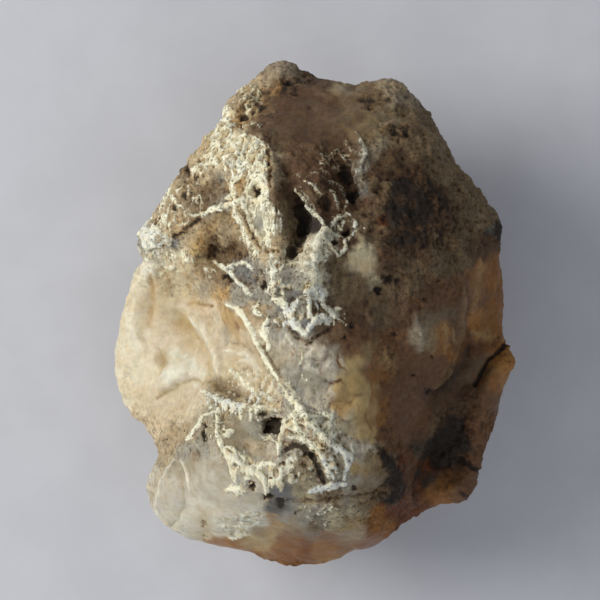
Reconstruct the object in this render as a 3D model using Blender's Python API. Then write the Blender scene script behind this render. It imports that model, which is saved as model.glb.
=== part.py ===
"""Ventifact: one wind-worn nodule of chalcedony, lying on its back with its carved face up.

Frame: X to the right of the face, Y towards the crown, Z up out of the face, origin on the
ground under the middle of the stone. Numbers in the tables are millimetres.

The stone is one solid. Its rim, the widest outline, carries a domed face above and a rounded
back below. Wind facets and scallops are cut into that body, and then the lumps, hollows,
ridges, clefts and ledges of the face. The ground trims the small flat spot that it rests on.
"""

import math

import bmesh
import bpy
import numpy as np
from mathutils import Vector, noise

MM = 0.001
WIDTH, LENGTH, HEIGHT = 80.0, 100.0, 61.0
TRIANGLES = 9400
SPHERE_SUBDIVISIONS = 7

# Places on the face are laid out as an eye above the stone sees them, on the level of the rim,
# so a place high on the stone lies a little nearer the eye's axis than its figures say.
EYE_X, EYE_Y, EYE_HEIGHT = -3.2, 2.4, 500.0
RIM_LEVEL = 24.0

# The widest outline, clockwise from the crown: (right, up, height above the ground).
RIM = [
    # crown, with a knob at each end
    (-6.2, 50.0, 27), (-3.2, 48.4, 27), (0.8, 46.6, 27), (6.8, 45.0, 26),
    (11.2, 45.8, 26), (15.0, 46.4, 27), (17.6, 45.0, 27), (19.6, 42.8, 27),
    # right shoulder, down to the dark corner
    (22.4, 40.0, 27), (24.8, 36.0, 28), (26.6, 31.4, 29), (29.2, 28.0, 30),
    (32.4, 24.8, 29), (34.4, 21.0, 28), (36.8, 19.2, 28), (37.4, 16.4, 26), (36.4, 11.4, 24),
    # right flank
    (37.4, 4.4, 22), (37.2, -1.2, 22), (37.6, -4.8, 23),
    # ear
    (39.6, -7.6, 24), (39.8, -10.8, 24), (37.2, -15.2, 22), (36.2, -20.6, 21),
    (34.2, -25.6, 20), (33.2, -30.0, 19),
    # foot
    (32.2, -34.0, 18), (30.4, -36.8, 18), (28.0, -38.2, 18), (24.8, -38.4, 18),
    (21.6, -39.6, 19), (19.0, -40.6, 20),
    # chin
    (16.8, -42.6, 21), (14.0, -45.2, 22), (10.8, -47.0, 22), (7.2, -47.4, 23),
    (4.4, -49.2, 23), (0.4, -50.0, 24), (-4.2, -50.2, 24), (-9.2, -49.6, 24),
    (-13.2, -47.8, 24), (-17.6, -46.8, 24), (-22.2, -46.0, 24), (-26.6, -44.8, 24),
    # jaw
    (-30.2, -42.4, 24), (-32.8, -39.2, 24), (-34.0, -35.6, 24), (-33.8, -32.4, 23),
    (-31.6, -29.2, 21), (-32.0, -25.6, 19),
    # cheek, the lobe that lies lowest
    (-34.2, -22.8, 17), (-37.2, -20.0, 16), (-39.2, -16.0, 15), (-40.0, -11.2, 14),
    (-39.8, -6.6, 14), (-38.6, -1.2, 15), (-37.2, 4.0, 17), (-36.0, 8.0, 20),
    # left shoulder
    (-34.4, 10.0, 24), (-35.6, 13.6, 28), (-34.8, 16.8, 29), (-32.0, 20.0, 29),
    (-29.2, 24.4, 29), (-27.0, 28.8, 29), (-22.8, 33.4, 28), (-18.8, 38.0, 27),
    (-17.6, 41.8, 27), (-15.2, 44.4, 27), (-12.2, 46.0, 27), (-10.4, 48.4, 27), (-8.4, 49.8, 27),
]
RIM_BLUR_DEG = 1.0
CORE_BLUR_DEG = 14.0
OUTLINE_BINS = 360
BODY_RELAXING = 12
RELIEF_RELAXING = 2
FACE_POWER = 2.5
BACK_POWER = 2.1
# How steeply the sharp outline takes over from the blurred one, and the stretch to it, near the rim.
RIM_ONSET = 5
OUTLINE_ONSET = 6

# Heights that the face passes through: (right, up, height above the ground).
FACE_HEIGHTS = [
    # nose
    (-10.8, 32.4, 52), (-8.8, 22.4, 58), (-7.2, 10.4, 60.5), (-6.6, 2.4, 59),
    (-3.2, -6.6, 59.5), (1.2, -14.6, 59),
    # mouth
    (-3.2, -25.6, 58.5), (-13.2, -27.6, 56.5), (-19.6, -24.0, 53), (2.8, -31.6, 56),
    (-8.2, -36.0, 54.5),
    # right of the nose
    (7.8, -6.6, 57), (9.2, -17.6, 55.5), (10.0, -27.6, 53.5), (4.8, 14.4, 56.5), (6.8, 2.4, 57.5),
    # crown
    (-3.2, 40.4, 45), (4.8, 42.8, 41), (14.8, 42.4, 40), (5.8, 34.4, 49), (-6.4, 46.4, 36),
    (18.8, 34.4, 46),
    # left temple and shoulder
    (-15.2, 36.4, 45), (-19.2, 29.4, 46), (-23.2, 22.4, 44), (-29.2, 20.0, 38.5),
    (-32.2, 14.4, 35), (-20.6, 12.0, 47), (-27.2, 8.0, 40), (-14.2, 18.4, 53),
    # cheek
    (-30.2, 1.4, 26), (-25.2, -4.0, 30), (-35.6, -5.6, 24), (-33.6, -15.6, 24),
    (-26.2, -11.6, 33), (-19.6, 1.4, 42), (-15.2, -5.6, 46), (-13.2, -13.2, 48),
    (-9.6, -7.6, 55), (-23.2, -17.6, 39),
    # jaw and chin
    (-27.6, -23.6, 34), (-25.2, -33.6, 44), (-31.6, -35.6, 33), (-19.2, -37.6, 48),
    (-13.2, -43.6, 40), (-25.2, -42.0, 34), (-3.2, -43.2, 44), (-3.2, -47.6, 33),
    (6.8, -40.6, 47), (9.2, -45.6, 32),
    # lower right, where the body falls away into the trough behind the ear
    (14.4, -37.2, 45), (16.8, -25.6, 47), (19.8, -17.6, 44), (16.0, -7.6, 51),
    (21.2, -4.6, 50), (23.4, -13.2, 40), (25.8, -27.6, 27), (22.4, -34.8, 27),
    (27.8, -17.6, 31), (30.8, -7.6, 33), (36.0, -10.8, 33), (32.8, -25.6, 30),
    (28.8, -35.6, 27),
    # right temple
    (16.8, 6.4, 53), (12.8, 16.4, 55.5), (20.8, 20.4, 51), (24.8, 26.4, 44), (29.8, 20.0, 42),
    (26.8, 10.4, 47), (33.2, 14.8, 38), (32.4, 2.4, 35), (27.2, -1.6, 42), (6.8, 24.4, 53),
]

# Heights that the back passes through; the ground trims what is under it.
BACK_HEIGHTS = [
    (0, 0, -1.2), (11, 8, -0.8), (-11, -6, -0.8), (7, -13, -0.8), (-8, 13, -0.8),
    (24, 14, 7), (-23, 17, 9), (-27, -6, 4), (-20, -27, 7), (-1, -37, 9), (20, -26, 5),
    (28, -6, 7), (3, 31, 9), (-13, 36, 14), (14, 36, 13), (29, -20, 8),
]

# Wind facets that bevel the back: (bearing from +X, tilt below the horizon, inset from the rim).
FACETS = [
    (150, 44, 0.5), (100, 36, 1.0), (48, 46, 0.5), (-5, 38, -1.0), (-48, 48, 1.0),
    (-98, 38, 0.5), (-158, 54, -2.5),
]
FACET_SOFTNESS = 1.2
FACET_KEEP = 0.25
FACET_UNDERCUT = 0.6

# Lumps: (right, up, half width, half length, turn in degrees, height).
LUMPS = {
    "left crown knob": (-6.2, 47.6, 3.2, 3.0, 0, 1.6),
    "right crown knob": (15.6, 43.8, 3.4, 3.0, 0, 1.6),
    "right temple": (22.8, 32.4, 3.0, 4.4, 20, 1.2),
    "left shoulder": (-32.2, 14.8, 3.0, 2.4, 0, 1.4),
    "dark corner": (35.6, 17.2, 2.4, 2.6, 0, 1.4),
    "honey lump": (21.4, -5.2, 4.2, 5.6, 10, 2.2),
    "pale lump": (13.4, 10.8, 2.8, 2.6, 0, 1.2),
    "bead 1": (9.4, -9.2, 2.5, 2.4, 0, 1.0),
    "bead 2": (8.0, -14.2, 2.5, 2.4, 0, 1.0),
    "bead 3": (9.0, -18.8, 2.2, 2.2, 0, 0.9),
    "bead 4": (3.6, -11.2, 2.6, 2.6, 0, 0.9),
    "bead 5": (4.0, -16.0, 2.0, 2.0, 0, 0.7),
    "bead 6": (13.4, -10.0, 2.2, 2.4, 0, 0.7),
    "cheek patch": (-27.6, -12.0, 3.2, 1.9, -25, 1.0),
    "mouth crust": (-9.6, -33.6, 4.2, 2.6, 20, 1.2),
    "mouth crust corner": (-15.4, -27.2, 2.4, 2.0, 0, 1.1),
    "foot": (27.2, -35.6, 3.4, 2.6, 30, 1.4),
    "ear tip": (38.4, -9.0, 1.8, 2.4, 0, 1.0),
    "black crust upper": (15.4, -32.0, 1.5, 2.4, 20, 1.0),
    "black crust lower": (16.4, -35.6, 1.8, 1.8, 0, 1.0),
    "left chin": (-16.0, -39.2, 4.4, 3.2, 0, 0.9),
    "middle chin": (-3.2, -42.0, 4.2, 3.2, 0, 0.9),
    "right chin": (7.2, -41.2, 4.0, 3.2, 0, 0.9),
    "leaf facet": (-28.8, -35.6, 2.6, 5.0, 15, 0.8),
}

# Shallow hollows, as the lumps but cut inwards.
SCOOPS = {
    "temple scoop": (-20.2, 25.2, 3.4, 3.0, 30, 2.4),
    "eye scoop": (-20.6, 12.0, 5.2, 3.8, 20, 3.0),
    "crown saddle": (3.8, 37.6, 7.6, 5.0, 10, 1.6),
    "cheek scoop": (-25.2, -3.6, 4.0, 5.2, 0, 1.8),
    "lower cheek": (-27.6, -18.0, 4.2, 2.0, 35, 1.2),
    "brow hollow": (7.2, 25.4, 2.0, 4.0, 25, 2.0),
    "dark temple": (22.8, 20.4, 5.0, 5.4, 0, 1.6),
    "mouth plate": (-15.2, -24.4, 5.2, 4.2, 0, 1.7),
    "lower plate": (-12.2, -29.0, 3.4, 2.4, 20, 1.2),
    "nose slot": (-10.6, 18.4, 1.2, 4.6, 12, 1.6),
    "trough": (25.2, -28.6, 3.8, 7.0, -18, 2.4),
}

# Steep-walled pits and holes.
PITS = {
    "eye, left": (-20.6, 11.0, 1.8, 2.0, 0, 2.8),
    "eye, right": (-16.8, 11.2, 1.7, 1.6, 0, 1.8),
    "mouth hole": (-9.2, -22.8, 2.0, 2.1, 0, 5.0),
    "mouth shelf": (-12.0, -23.4, 1.7, 1.7, 0, 1.6),
    "mouth slit": (-22.4, -24.0, 1.3, 2.8, 0, 2.4),
    "chin pit, left": (-12.8, -35.0, 1.5, 1.4, 0, 1.6),
    "chin pit, right": (-9.6, -37.0, 1.7, 1.3, 0, 1.3),
    "crown pit": (-15.0, 38.4, 2.0, 1.6, 40, 1.7),
    "brow cavity": (2.0, 22.0, 1.8, 2.1, 0, 1.5),
    "nose pit": (-12.2, 24.0, 1.3, 1.3, 0, 1.3),
    "bridge pit": (-10.2, 5.2, 1.3, 1.3, 0, 1.2),
    "eye corner pit": (-18.0, 6.6, 1.5, 1.3, 30, 1.2),
    "temple slit": (-26.0, 28.2, 1.2, 2.4, 15, 1.3),
}

# Ridges: (half width, height, course).
RIDGES = {
    "nose": (1.3, 1.6, [(-10.4, 35.4), (-8.8, 30.4), (-8.0, 23.4), (-7.8, 15.4), (-7.4, 8.4),
                        (-7.0, 3.2)]),
    "nose, left": (1.1, 1.6, [(-15.2, 22.8), (-13.4, 18.0), (-11.6, 12.4), (-9.6, 7.4), (-8.2, 4.0)]),
    "eyebrow": (1.1, 1.5, [(-31.2, 14.8), (-26.2, 17.6), (-23.0, 19.6), (-17.0, 21.6), (-14.0, 23.2)]),
    "fissure bank": (1.5, 1.6, [(-4.4, 27.4), (-2.6, 23.0), (0.2, 19.0), (0.8, 16.6), (-0.8, 13.2),
                                (-2.0, 9.4), (-2.2, 5.4), (-1.4, 2.4)]),
    "chevron": (1.2, 0.7, [(-7.0, 1.0), (-3.8, -2.4), (-2.2, -4.2), (0.0, -2.2), (1.4, 1.2)]),
    "seam": (1.0, 2.0, [(-17.4, 1.0), (-14.8, -1.0), (-12.8, -4.0), (-10.6, -8.8), (-7.8, -12.2),
                        (-5.6, -15.6), (-4.0, -18.2), (-2.6, -20.6)]),
    "seam, lower": (1.2, 1.4, [(-2.6, -20.6), (-0.6, -23.2), (2.4, -26.6), (6.2, -29.2)]),
    "seam, branch": (1.2, 0.7, [(-1.4, -23.2), (0.8, -27.6), (2.8, -32.4)]),
    "hub, right": (1.2, 0.6, [(-6.4, -22.0), (-3.2, -20.8), (0.4, -20.0), (3.2, -20.4)]),
    "hub, down": (1.2, 1.2, [(-6.4, -22.4), (-6.8, -25.6), (-7.6, -28.0), (-10.0, -30.0)]),
    "lower lip": (1.3, 1.5, [(-25.2, -26.8), (-22.2, -22.6), (-20.4, -23.2), (-19.4, -26.6),
                             (-16.8, -28.8), (-14.0, -32.0), (-10.8, -34.0), (-7.2, -34.8)]),
    "upper lip": (1.2, 1.2, [(-22.0, -16.0), (-18.8, -17.6), (-15.2, -18.0), (-10.8, -18.4),
                             (-6.0, -18.4)]),
    "cheek fin": (1.2, 1.9, [(-24.4, -1.8), (-21.0, -5.2), (-19.8, -8.0), (-19.2, -12.0)]),
    "low cheek fin": (1.8, 1.5, [(-32.4, -16.4), (-29.2, -14.4), (-26.0, -10.8)]),
    "ear rim": (1.5, 1.2, [(38.8, -8.0), (36.8, -10.6), (34.8, -13.0), (33.2, -17.0)]),
    "brow": (1.2, 1.0, [(8.0, 35.6), (9.8, 31.4), (8.8, 28.6), (9.2, 25.8), (10.8, 23.0)]),
}

# Clefts: (half width, depth, course).
CLEFTS = {
    "fissure": (1.9, 6.0, [(-6.8, 31.0), (-6.2, 28.4), (-4.8, 24.2), (-3.2, 20.0), (-2.2, 17.2),
                           (-3.0, 13.8), (-4.8, 10.8)]),
    "brow cleft": (1.4, 3.2, [(3.6, 31.0), (5.0, 28.2), (6.6, 25.6), (7.8, 22.8)]),
    "arc crack": (1.0, 1.1, [(-6.0, -26.8), (-3.2, -26.8), (-0.6, -28.8), (0.6, -30.8), (1.2, -33.8)]),
    "under the lip": (1.1, 1.3, [(-20.0, -13.0), (-17.6, -15.2), (-14.0, -16.8), (-10.8, -17.4)]),
    "cheek groove": (1.4, 1.0, [(-33.2, 5.4), (-32.8, 1.4), (-33.4, -3.6)]),
    "cheek crease": (1.1, 1.0, [(-32.0, -17.0), (-28.6, -15.4), (-26.0, -14.0), (-23.0, -14.2)]),
    "ear slot": (1.1, 1.6, [(38.2, -6.4), (36.0, -8.0), (34.0, -10.0), (32.4, -12.8), (30.8, -14.6)]),
    "foot slot": (1.0, 1.2, [(28.4, -29.6), (30.2, -30.4), (31.8, -31.2)]),
}

# Ledges: (step, reach, course), with the high side on the left of the course.
LEDGES = {
    "shoulder": (5.0, 4.5, [(-18.8, 0.8), (-24.2, 1.2), (-28.8, 3.2), (-32.2, 6.8), (-34.6, 10.4)]),
    "body edge": (4.0, 4.0, [(17.6, -35.6), (18.8, -27.6), (20.8, -20.6), (24.8, -14.6), (27.2, -8.0),
                             (29.2, -2.0)]),
    "mouth": (1.2, 2.5, [(-22.2, -14.8), (-17.6, -16.8), (-11.6, -18.0), (-6.2, -18.4)]),
}
LEDGE_SHARPNESS = 0.6

# Profiles of the relief: 2 is a bell, and more has a flatter middle with steeper sides.
PIT_STEEPNESS = 3
CLEFT_STEEPNESS = 2.5
CLEFT_END_DEPTH = 0.35
LEDGE_FADE_IN, LEDGE_FADE_OUT = 0.25, 0.85
FACE_TURN = 0.45

# Wear all over: (grain size, height of the relief).
GRAINS = [(19.0, 1.3), (7.0, 0.5)]
FINE_GRAINS = [(3.2, 0.22)]
GRAIN_OCTAVES = 3
GRAIN_FADE, GRAIN_STEP = 0.8, 2.1
SCALLOP_SIZE, SCALLOP_DEPTH, SCALLOP_REACH = 9.0, 1.2, 0.75
SCALLOP_ON_FACE = 0.15
GROUND_CALM = 5.0

STONE_COLOUR = (0.42, 0.33, 0.21, 1.0)
STONE_ROUGHNESS = 0.45
STONE_SUBSURFACE = 0.15


def smoothstep(low, high, values):
    t = np.clip((values - low) / (high - low), 0.0, 1.0)
    return t * t * (3.0 - 2.0 * t)


def clear_scene():
    for obj in list(bpy.data.objects):
        bpy.data.objects.remove(obj)


def make_collection(name):
    collection = bpy.data.collections.new(name)
    bpy.context.scene.collection.children.link(collection)
    return collection


# ---- The body: a rim, a face above it and a back below it ----


def from_eye(places):
    """(right, up, height) as the eye sees them, moved to where they are in the stone's frame."""
    right, up, height = np.array(places, float).T
    share = (EYE_HEIGHT - height) / (EYE_HEIGHT - RIM_LEVEL)
    x = EYE_X + (right - EYE_X) * share
    y = EYE_Y + (up - EYE_Y) * share
    return np.column_stack([x, y, height])


def as_seen(points):
    """The (right, up) at which the eye sees each point of the stone."""
    share = (EYE_HEIGHT - RIM_LEVEL) / (EYE_HEIGHT - points[:, 2])
    right = EYE_X + (points[:, 0] - EYE_X) * share
    up = EYE_Y + (points[:, 1] - EYE_Y) * share
    return np.column_stack([right, up])


class Rim:
    """The outline as a radius and a height for every bearing: sharp at the rim, blurred for the core."""

    STEPS = 1440

    def __init__(self, places):
        points = from_eye(places)
        bearing = np.arctan2(points[:, 1], points[:, 0])
        order = np.argsort(bearing)
        self.bearings = np.linspace(-math.pi, math.pi, self.STEPS, endpoint=False)
        radius = np.hypot(points[:, 0], points[:, 1])
        tables = [
            np.interp(self.bearings, bearing[order], values[order], period=2 * math.pi)
            for values in (radius, points[:, 2])
        ]
        self.radius = self.blurred(tables[0], RIM_BLUR_DEG)
        self.core_radius = self.blurred(tables[0], CORE_BLUR_DEG)
        self.height = self.blurred(tables[1], 2 * RIM_BLUR_DEG)
        self.core_height = self.blurred(tables[1], CORE_BLUR_DEG)

    def blurred(self, table, degrees):
        """The table averaged round the circle under a bell curve of this width."""
        offsets = np.arange(self.STEPS) - self.STEPS // 2
        bell = np.exp(-0.5 * (offsets * 360.0 / self.STEPS / degrees) ** 2)
        spread = np.fft.fft(np.fft.ifftshift(bell / bell.sum()))
        return np.real(np.fft.ifft(np.fft.fft(table) * spread))

    def at(self, bearing, share):
        """(radius, height) for each bearing, where share runs from 0 in the middle to 1 at the rim."""
        sharp = share**RIM_ONSET
        found = []
        for core, edge in ((self.core_radius, self.radius), (self.core_height, self.height)):
            inner = np.interp(bearing, self.bearings, core, period=2 * math.pi)
            outer = np.interp(bearing, self.bearings, edge, period=2 * math.pi)
            found.append(inner + (outer - inner) * sharp)
        return found


def dome(share, power):
    """1 in the middle and 0 at the rim, where it meets the rim upright."""
    return (1.0 - np.clip(share, 0.0, 1.0) ** power) ** (1.0 / power)


class Surface:
    """A smooth sheet over the plan, bent like a thin plate to give the stated heights."""

    LEAST_DOME = 0.35
    STIFFNESS = 2.0

    def __init__(self, places, rim, power):
        x, y, z = np.array(places, float).T
        bearing = np.arctan2(y, x)
        share = np.hypot(x, y) / rim.at(bearing, np.ones_like(x))[0]
        rim_height = rim.at(bearing, share)[1]
        rise = (z - rim_height) / np.maximum(dome(share, power), self.LEAST_DOME)
        self.places = np.column_stack([x, y])
        count = len(places)
        bend = self.bend(self.places) + self.STIFFNESS * np.eye(count)
        flat = np.column_stack([np.ones(count), self.places])
        system = np.block([[bend, flat], [flat.T, np.zeros((3, 3))]])
        self.weights = np.linalg.solve(system, np.concatenate([rim_height + rise, np.zeros(3)]))

    def bend(self, where):
        distance = np.linalg.norm(where[:, None, :] - self.places[None, :, :], axis=2)
        return distance**2 * np.log(np.maximum(distance, 1e-9))

    def height(self, where):
        count = len(self.places)
        plane = self.weights[count] + where @ self.weights[count + 1 :]
        return self.bend(where) @ self.weights[:count] + plane


def body_points(directions, rim):
    """The plain body: a point for each direction from the middle of the stone."""
    face = Surface(from_eye(FACE_HEIGHTS), rim, FACE_POWER)
    back = Surface(BACK_HEIGHTS, rim, BACK_POWER)
    share = np.hypot(directions[:, 0], directions[:, 1])
    bearing = np.arctan2(directions[:, 1], directions[:, 0])
    radius, rim_height = rim.at(bearing, share)
    plan = np.column_stack([np.cos(bearing), np.sin(bearing)]) * (radius * share)[:, None]
    upper = directions[:, 2] >= 0
    sheet = np.where(upper, face.height(plan), back.height(plan))
    bulge = np.where(upper, dome(share, FACE_POWER), dome(share, BACK_POWER))
    return np.column_stack([plan, rim_height + (sheet - rim_height) * bulge])


def cut_facets(points, rim):
    """Presses what stands outside each wind facet's plane almost flat onto it, below the rim."""
    for bearing, tilt, inset in FACETS:
        a, e = math.radians(bearing), math.radians(-tilt)
        radius, height = rim.at(a, 1.0)
        on_rim = np.array([radius * math.cos(a), radius * math.sin(a), height])
        normal = np.array([math.cos(a) * math.cos(e), math.sin(a) * math.cos(e), math.sin(e)])
        outside = (points - on_rim) @ normal + inset
        cut = FACET_SOFTNESS * np.logaddexp(0.0, outside / FACET_SOFTNESS) * (1.0 - FACET_KEEP)
        bearings = np.arctan2(points[:, 1], points[:, 0])
        below = rim.at(bearings, np.ones(len(points)))[1] - points[:, 2]
        cut = np.minimum(cut, FACET_UNDERCUT * np.maximum(below, 0.0))
        points = points - np.outer(cut, normal)
    return points


# ---- Relief: how far each point of the body stands out, along its normal ----


def vertex_normals(points, faces):
    a, b, c = (points[faces[:, i]] for i in range(3))
    across = np.cross(b - a, c - a)
    normals = np.zeros_like(points)
    for i in range(3):
        np.add.at(normals, faces[:, i], across)
    return normals / np.maximum(np.linalg.norm(normals, axis=1), 1e-12)[:, None]


def relaxed(points, faces, times):
    """Moves every point to the middle of its neighbours, several times over, to round off creases."""
    neighbours = np.zeros(len(points))
    for i in range(3):
        np.add.at(neighbours, faces[:, i], 2.0)
    for _ in range(times):
        total = np.zeros_like(points)
        for i in range(3):
            np.add.at(total, faces[:, i], points[faces[:, i - 1]] + points[faces[:, i - 2]])
        points = total / neighbours[:, None]
    return points


def oval_distance(seen, right, up, half_width, half_length, turn):
    """Distance from an oval's middle, where 1 is its edge."""
    a = math.radians(turn)
    dx, dy = seen[:, 0] - right, seen[:, 1] - up
    across = (dx * math.cos(a) + dy * math.sin(a)) / half_width
    along = (dy * math.cos(a) - dx * math.sin(a)) / half_length
    return np.hypot(across, along)


def course_distance(seen, course):
    """(distance from a course, with its sign on the left, share of the way along it)."""
    best = np.full(len(seen), 1e9)
    side = np.zeros(len(seen))
    way = np.zeros(len(seen))
    stretches = len(course) - 1
    for i in range(stretches):
        start, end = np.array(course[i]), np.array(course[i + 1])
        run = end - start
        t = np.clip((seen - start) @ run / (run @ run), 0.0, 1.0)
        away = seen - start - t[:, None] * run
        distance = np.linalg.norm(away, axis=1)
        nearer = distance < best
        best = np.where(nearer, distance, best)
        side = np.where(nearer, np.sign(run[0] * away[:, 1] - run[1] * away[:, 0]), side)
        way = np.where(nearer, (i + t) / stretches, way)
    return best * side, way


def face_relief(seen):
    """How far the features of the face stand out, or in where it is below 0."""
    relief = np.zeros(len(seen))
    for *oval, height in LUMPS.values():
        relief += height * np.exp(-oval_distance(seen, *oval) ** 2)
    for *oval, depth in SCOOPS.values():
        relief -= depth * np.exp(-oval_distance(seen, *oval) ** 2)
    for *oval, depth in PITS.values():
        relief -= depth * np.exp(-oval_distance(seen, *oval) ** PIT_STEEPNESS)
    for half_width, height, course in RIDGES.values():
        relief += height * np.exp(-(course_distance(seen, course)[0] / half_width) ** 2)
    for half_width, depth, course in CLEFTS.values():
        distance, way = course_distance(seen, course)
        middle = np.sin(math.pi * np.clip(way, 0.02, 0.98))
        taper = CLEFT_END_DEPTH + (1.0 - CLEFT_END_DEPTH) * middle
        relief -= depth * taper * np.exp(-np.abs(distance / half_width) ** CLEFT_STEEPNESS)
    for step, reach, course in LEDGES.values():
        distance, way = course_distance(seen, course)
        taper = smoothstep(0.0, LEDGE_FADE_IN, way) * smoothstep(1.0, LEDGE_FADE_OUT, way)
        drop = np.tanh(distance / LEDGE_SHARPNESS) * np.exp(-(distance / reach) ** 2)
        relief += 0.5 * step * taper * drop
    return relief


def grain_relief(points, grains):
    """Even wear all over the stone, with finer grains on coarse ones."""
    relief = np.zeros(len(points))
    for size, height in grains:
        relief += height * np.array([
            noise.fractal(Vector(p) / size, GRAIN_FADE, GRAIN_STEP, GRAIN_OCTAVES) for p in points
        ])
    return relief


def scallop_relief(points):
    """Shallow wind scallops that meet in crests: 0 on the crests, below 0 in the bowls."""
    nearest = np.array([noise.voronoi(Vector(p) / SCALLOP_SIZE)[0][0] for p in points])
    return -SCALLOP_DEPTH * (1.0 - np.clip(nearest / SCALLOP_REACH, 0.0, 1.0) ** 2)


def wanted_radius(bearings):
    """The radius of the table's outline on these bearings, as the eye sees it."""
    places = np.array([place[:2] for place in RIM])
    places = places[np.argsort(np.arctan2(places[:, 1], places[:, 0]))]
    at = np.arctan2(places[:, 1], places[:, 0])
    return np.interp(bearings, at, np.hypot(*places.T), period=2 * math.pi)


def set_outline(points):
    """Draws the stone in or out round its rim until the eye sees the outline of the table."""
    seen = as_seen(points)
    bearing = np.arctan2(seen[:, 1], seen[:, 0])
    radius = np.hypot(seen[:, 0], seen[:, 1])
    bins = ((bearing + math.pi) / (2 * math.pi) * OUTLINE_BINS).astype(int) % OUTLINE_BINS
    actual = np.zeros(OUTLINE_BINS)
    np.maximum.at(actual, bins, radius)
    middles = (np.arange(OUTLINE_BINS) + 0.5) * 2 * math.pi / OUTLINE_BINS - math.pi
    ratio = np.interp(bearing, middles, wanted_radius(middles) / actual, period=2 * math.pi)
    share = radius / np.interp(bearing, middles, actual, period=2 * math.pi)
    stretch = 1.0 + (ratio - 1.0) * np.clip(share, 0.0, 1.0) ** OUTLINE_ONSET
    return points * np.column_stack([stretch, stretch, np.ones(len(points))])


def carved(points, faces):
    """The body with all its relief."""
    normals = vertex_normals(points, faces)
    on_face = smoothstep(0.0, FACE_TURN, normals[:, 2])
    scallops = scallop_relief(points) * (1.0 + (SCALLOP_ON_FACE - 1.0) * on_face)
    wear = (grain_relief(points, GRAINS) + scallops) * smoothstep(0.0, GROUND_CALM, points[:, 2])
    points = points + wear[:, None] * normals
    outwards = vertex_normals(points, faces) + (0.0, 0.0, 1.0)
    outwards /= np.maximum(np.linalg.norm(outwards, axis=1), 0.1)[:, None]
    points = points + (face_relief(as_seen(points)) * on_face)[:, None] * outwards
    points = set_outline(relaxed(points, faces, RELIEF_RELAXING))
    fine = grain_relief(points, FINE_GRAINS) * smoothstep(0.0, GROUND_CALM, points[:, 2])
    return points + fine[:, None] * vertex_normals(points, faces)


def set_to_size(points):
    """Scales the stone to size, with the origin on the ground below its middle."""
    low, high = points.min(axis=0), points.max(axis=0)
    scale = np.array([WIDTH / (high[0] - low[0]), LENGTH / (high[1] - low[1]), HEIGHT / high[2]])
    middle = np.array([(low[0] + high[0]) / 2, (low[1] + high[1]) / 2, 0.0])
    return (points - middle) * scale


# ---- Blender objects ----


def stone_material():
    material = bpy.data.materials.new("chalcedony")
    material.use_nodes = True
    shader = material.node_tree.nodes["Principled BSDF"]
    shader.inputs["Base Color"].default_value = STONE_COLOUR
    shader.inputs["Roughness"].default_value = STONE_ROUGHNESS
    shader.inputs["Metallic"].default_value = 0.0
    shader.inputs["Subsurface Weight"].default_value = STONE_SUBSURFACE
    return material


def make_ground(collection):
    """The block under the ground, which trims the flat spot that the stone rests on."""
    mesh = bpy.data.meshes.new("ground_cutter")
    bm = bmesh.new()
    bmesh.ops.create_cube(bm, size=1.0)
    bmesh.ops.scale(bm, vec=(2 * WIDTH * MM, 2 * LENGTH * MM, HEIGHT * MM), verts=bm.verts)
    bmesh.ops.translate(bm, vec=(0, 0, -HEIGHT * MM / 2), verts=bm.verts)
    bm.to_mesh(mesh)
    bm.free()
    ground = bpy.data.objects.new("ground_cutter", mesh)
    ground.hide_render = True
    ground.display_type = "WIRE"
    collection.objects.link(ground)
    return ground


def make_stone(collection, ground):
    mesh = bpy.data.meshes.new("stone")
    bm = bmesh.new()
    bmesh.ops.create_icosphere(bm, subdivisions=SPHERE_SUBDIVISIONS, radius=1.0)
    directions = np.array([v.co for v in bm.verts])
    faces = np.array([[v.index for v in f.verts] for f in bm.faces])
    rim = Rim(RIM)
    body = relaxed(cut_facets(body_points(directions, rim), rim), faces, BODY_RELAXING)
    points = set_to_size(carved(body, faces))
    for vertex, point in zip(bm.verts, points * MM):
        vertex.co = point
    bmesh.ops.recalc_face_normals(bm, faces=bm.faces)
    bm.to_mesh(mesh)
    bm.free()
    mesh.shade_smooth()
    mesh.materials.append(stone_material())
    stone = bpy.data.objects.new("stone", mesh)
    collection.objects.link(stone)

    thin = stone.modifiers.new("thin_out", "DECIMATE")
    thin.ratio = TRIANGLES / len(faces)
    trim = stone.modifiers.new("flat_spot", "BOOLEAN")
    trim.operation = "DIFFERENCE"
    trim.object = ground
    return stone


def main():
    clear_scene()
    ground = make_ground(make_collection("cutters"))
    make_stone(make_collection("ventifact"), ground)


main()
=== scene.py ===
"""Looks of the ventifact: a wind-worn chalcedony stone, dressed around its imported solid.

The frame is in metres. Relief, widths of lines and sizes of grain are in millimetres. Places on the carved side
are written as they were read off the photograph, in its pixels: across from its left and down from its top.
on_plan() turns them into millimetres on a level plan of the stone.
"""

import bpy
import numpy as np
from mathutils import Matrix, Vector, noise


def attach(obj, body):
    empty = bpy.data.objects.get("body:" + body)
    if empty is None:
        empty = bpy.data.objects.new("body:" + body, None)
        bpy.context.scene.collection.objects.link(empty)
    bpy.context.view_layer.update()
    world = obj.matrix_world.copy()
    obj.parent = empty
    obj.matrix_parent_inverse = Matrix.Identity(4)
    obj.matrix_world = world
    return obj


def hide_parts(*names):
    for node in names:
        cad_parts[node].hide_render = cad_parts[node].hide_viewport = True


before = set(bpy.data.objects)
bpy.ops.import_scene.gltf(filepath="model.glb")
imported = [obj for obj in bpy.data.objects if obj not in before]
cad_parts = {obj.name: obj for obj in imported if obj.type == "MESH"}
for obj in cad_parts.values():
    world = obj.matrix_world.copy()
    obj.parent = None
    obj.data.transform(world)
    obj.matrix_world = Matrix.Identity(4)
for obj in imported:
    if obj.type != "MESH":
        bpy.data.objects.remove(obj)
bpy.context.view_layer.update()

MM = 0.001

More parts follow.
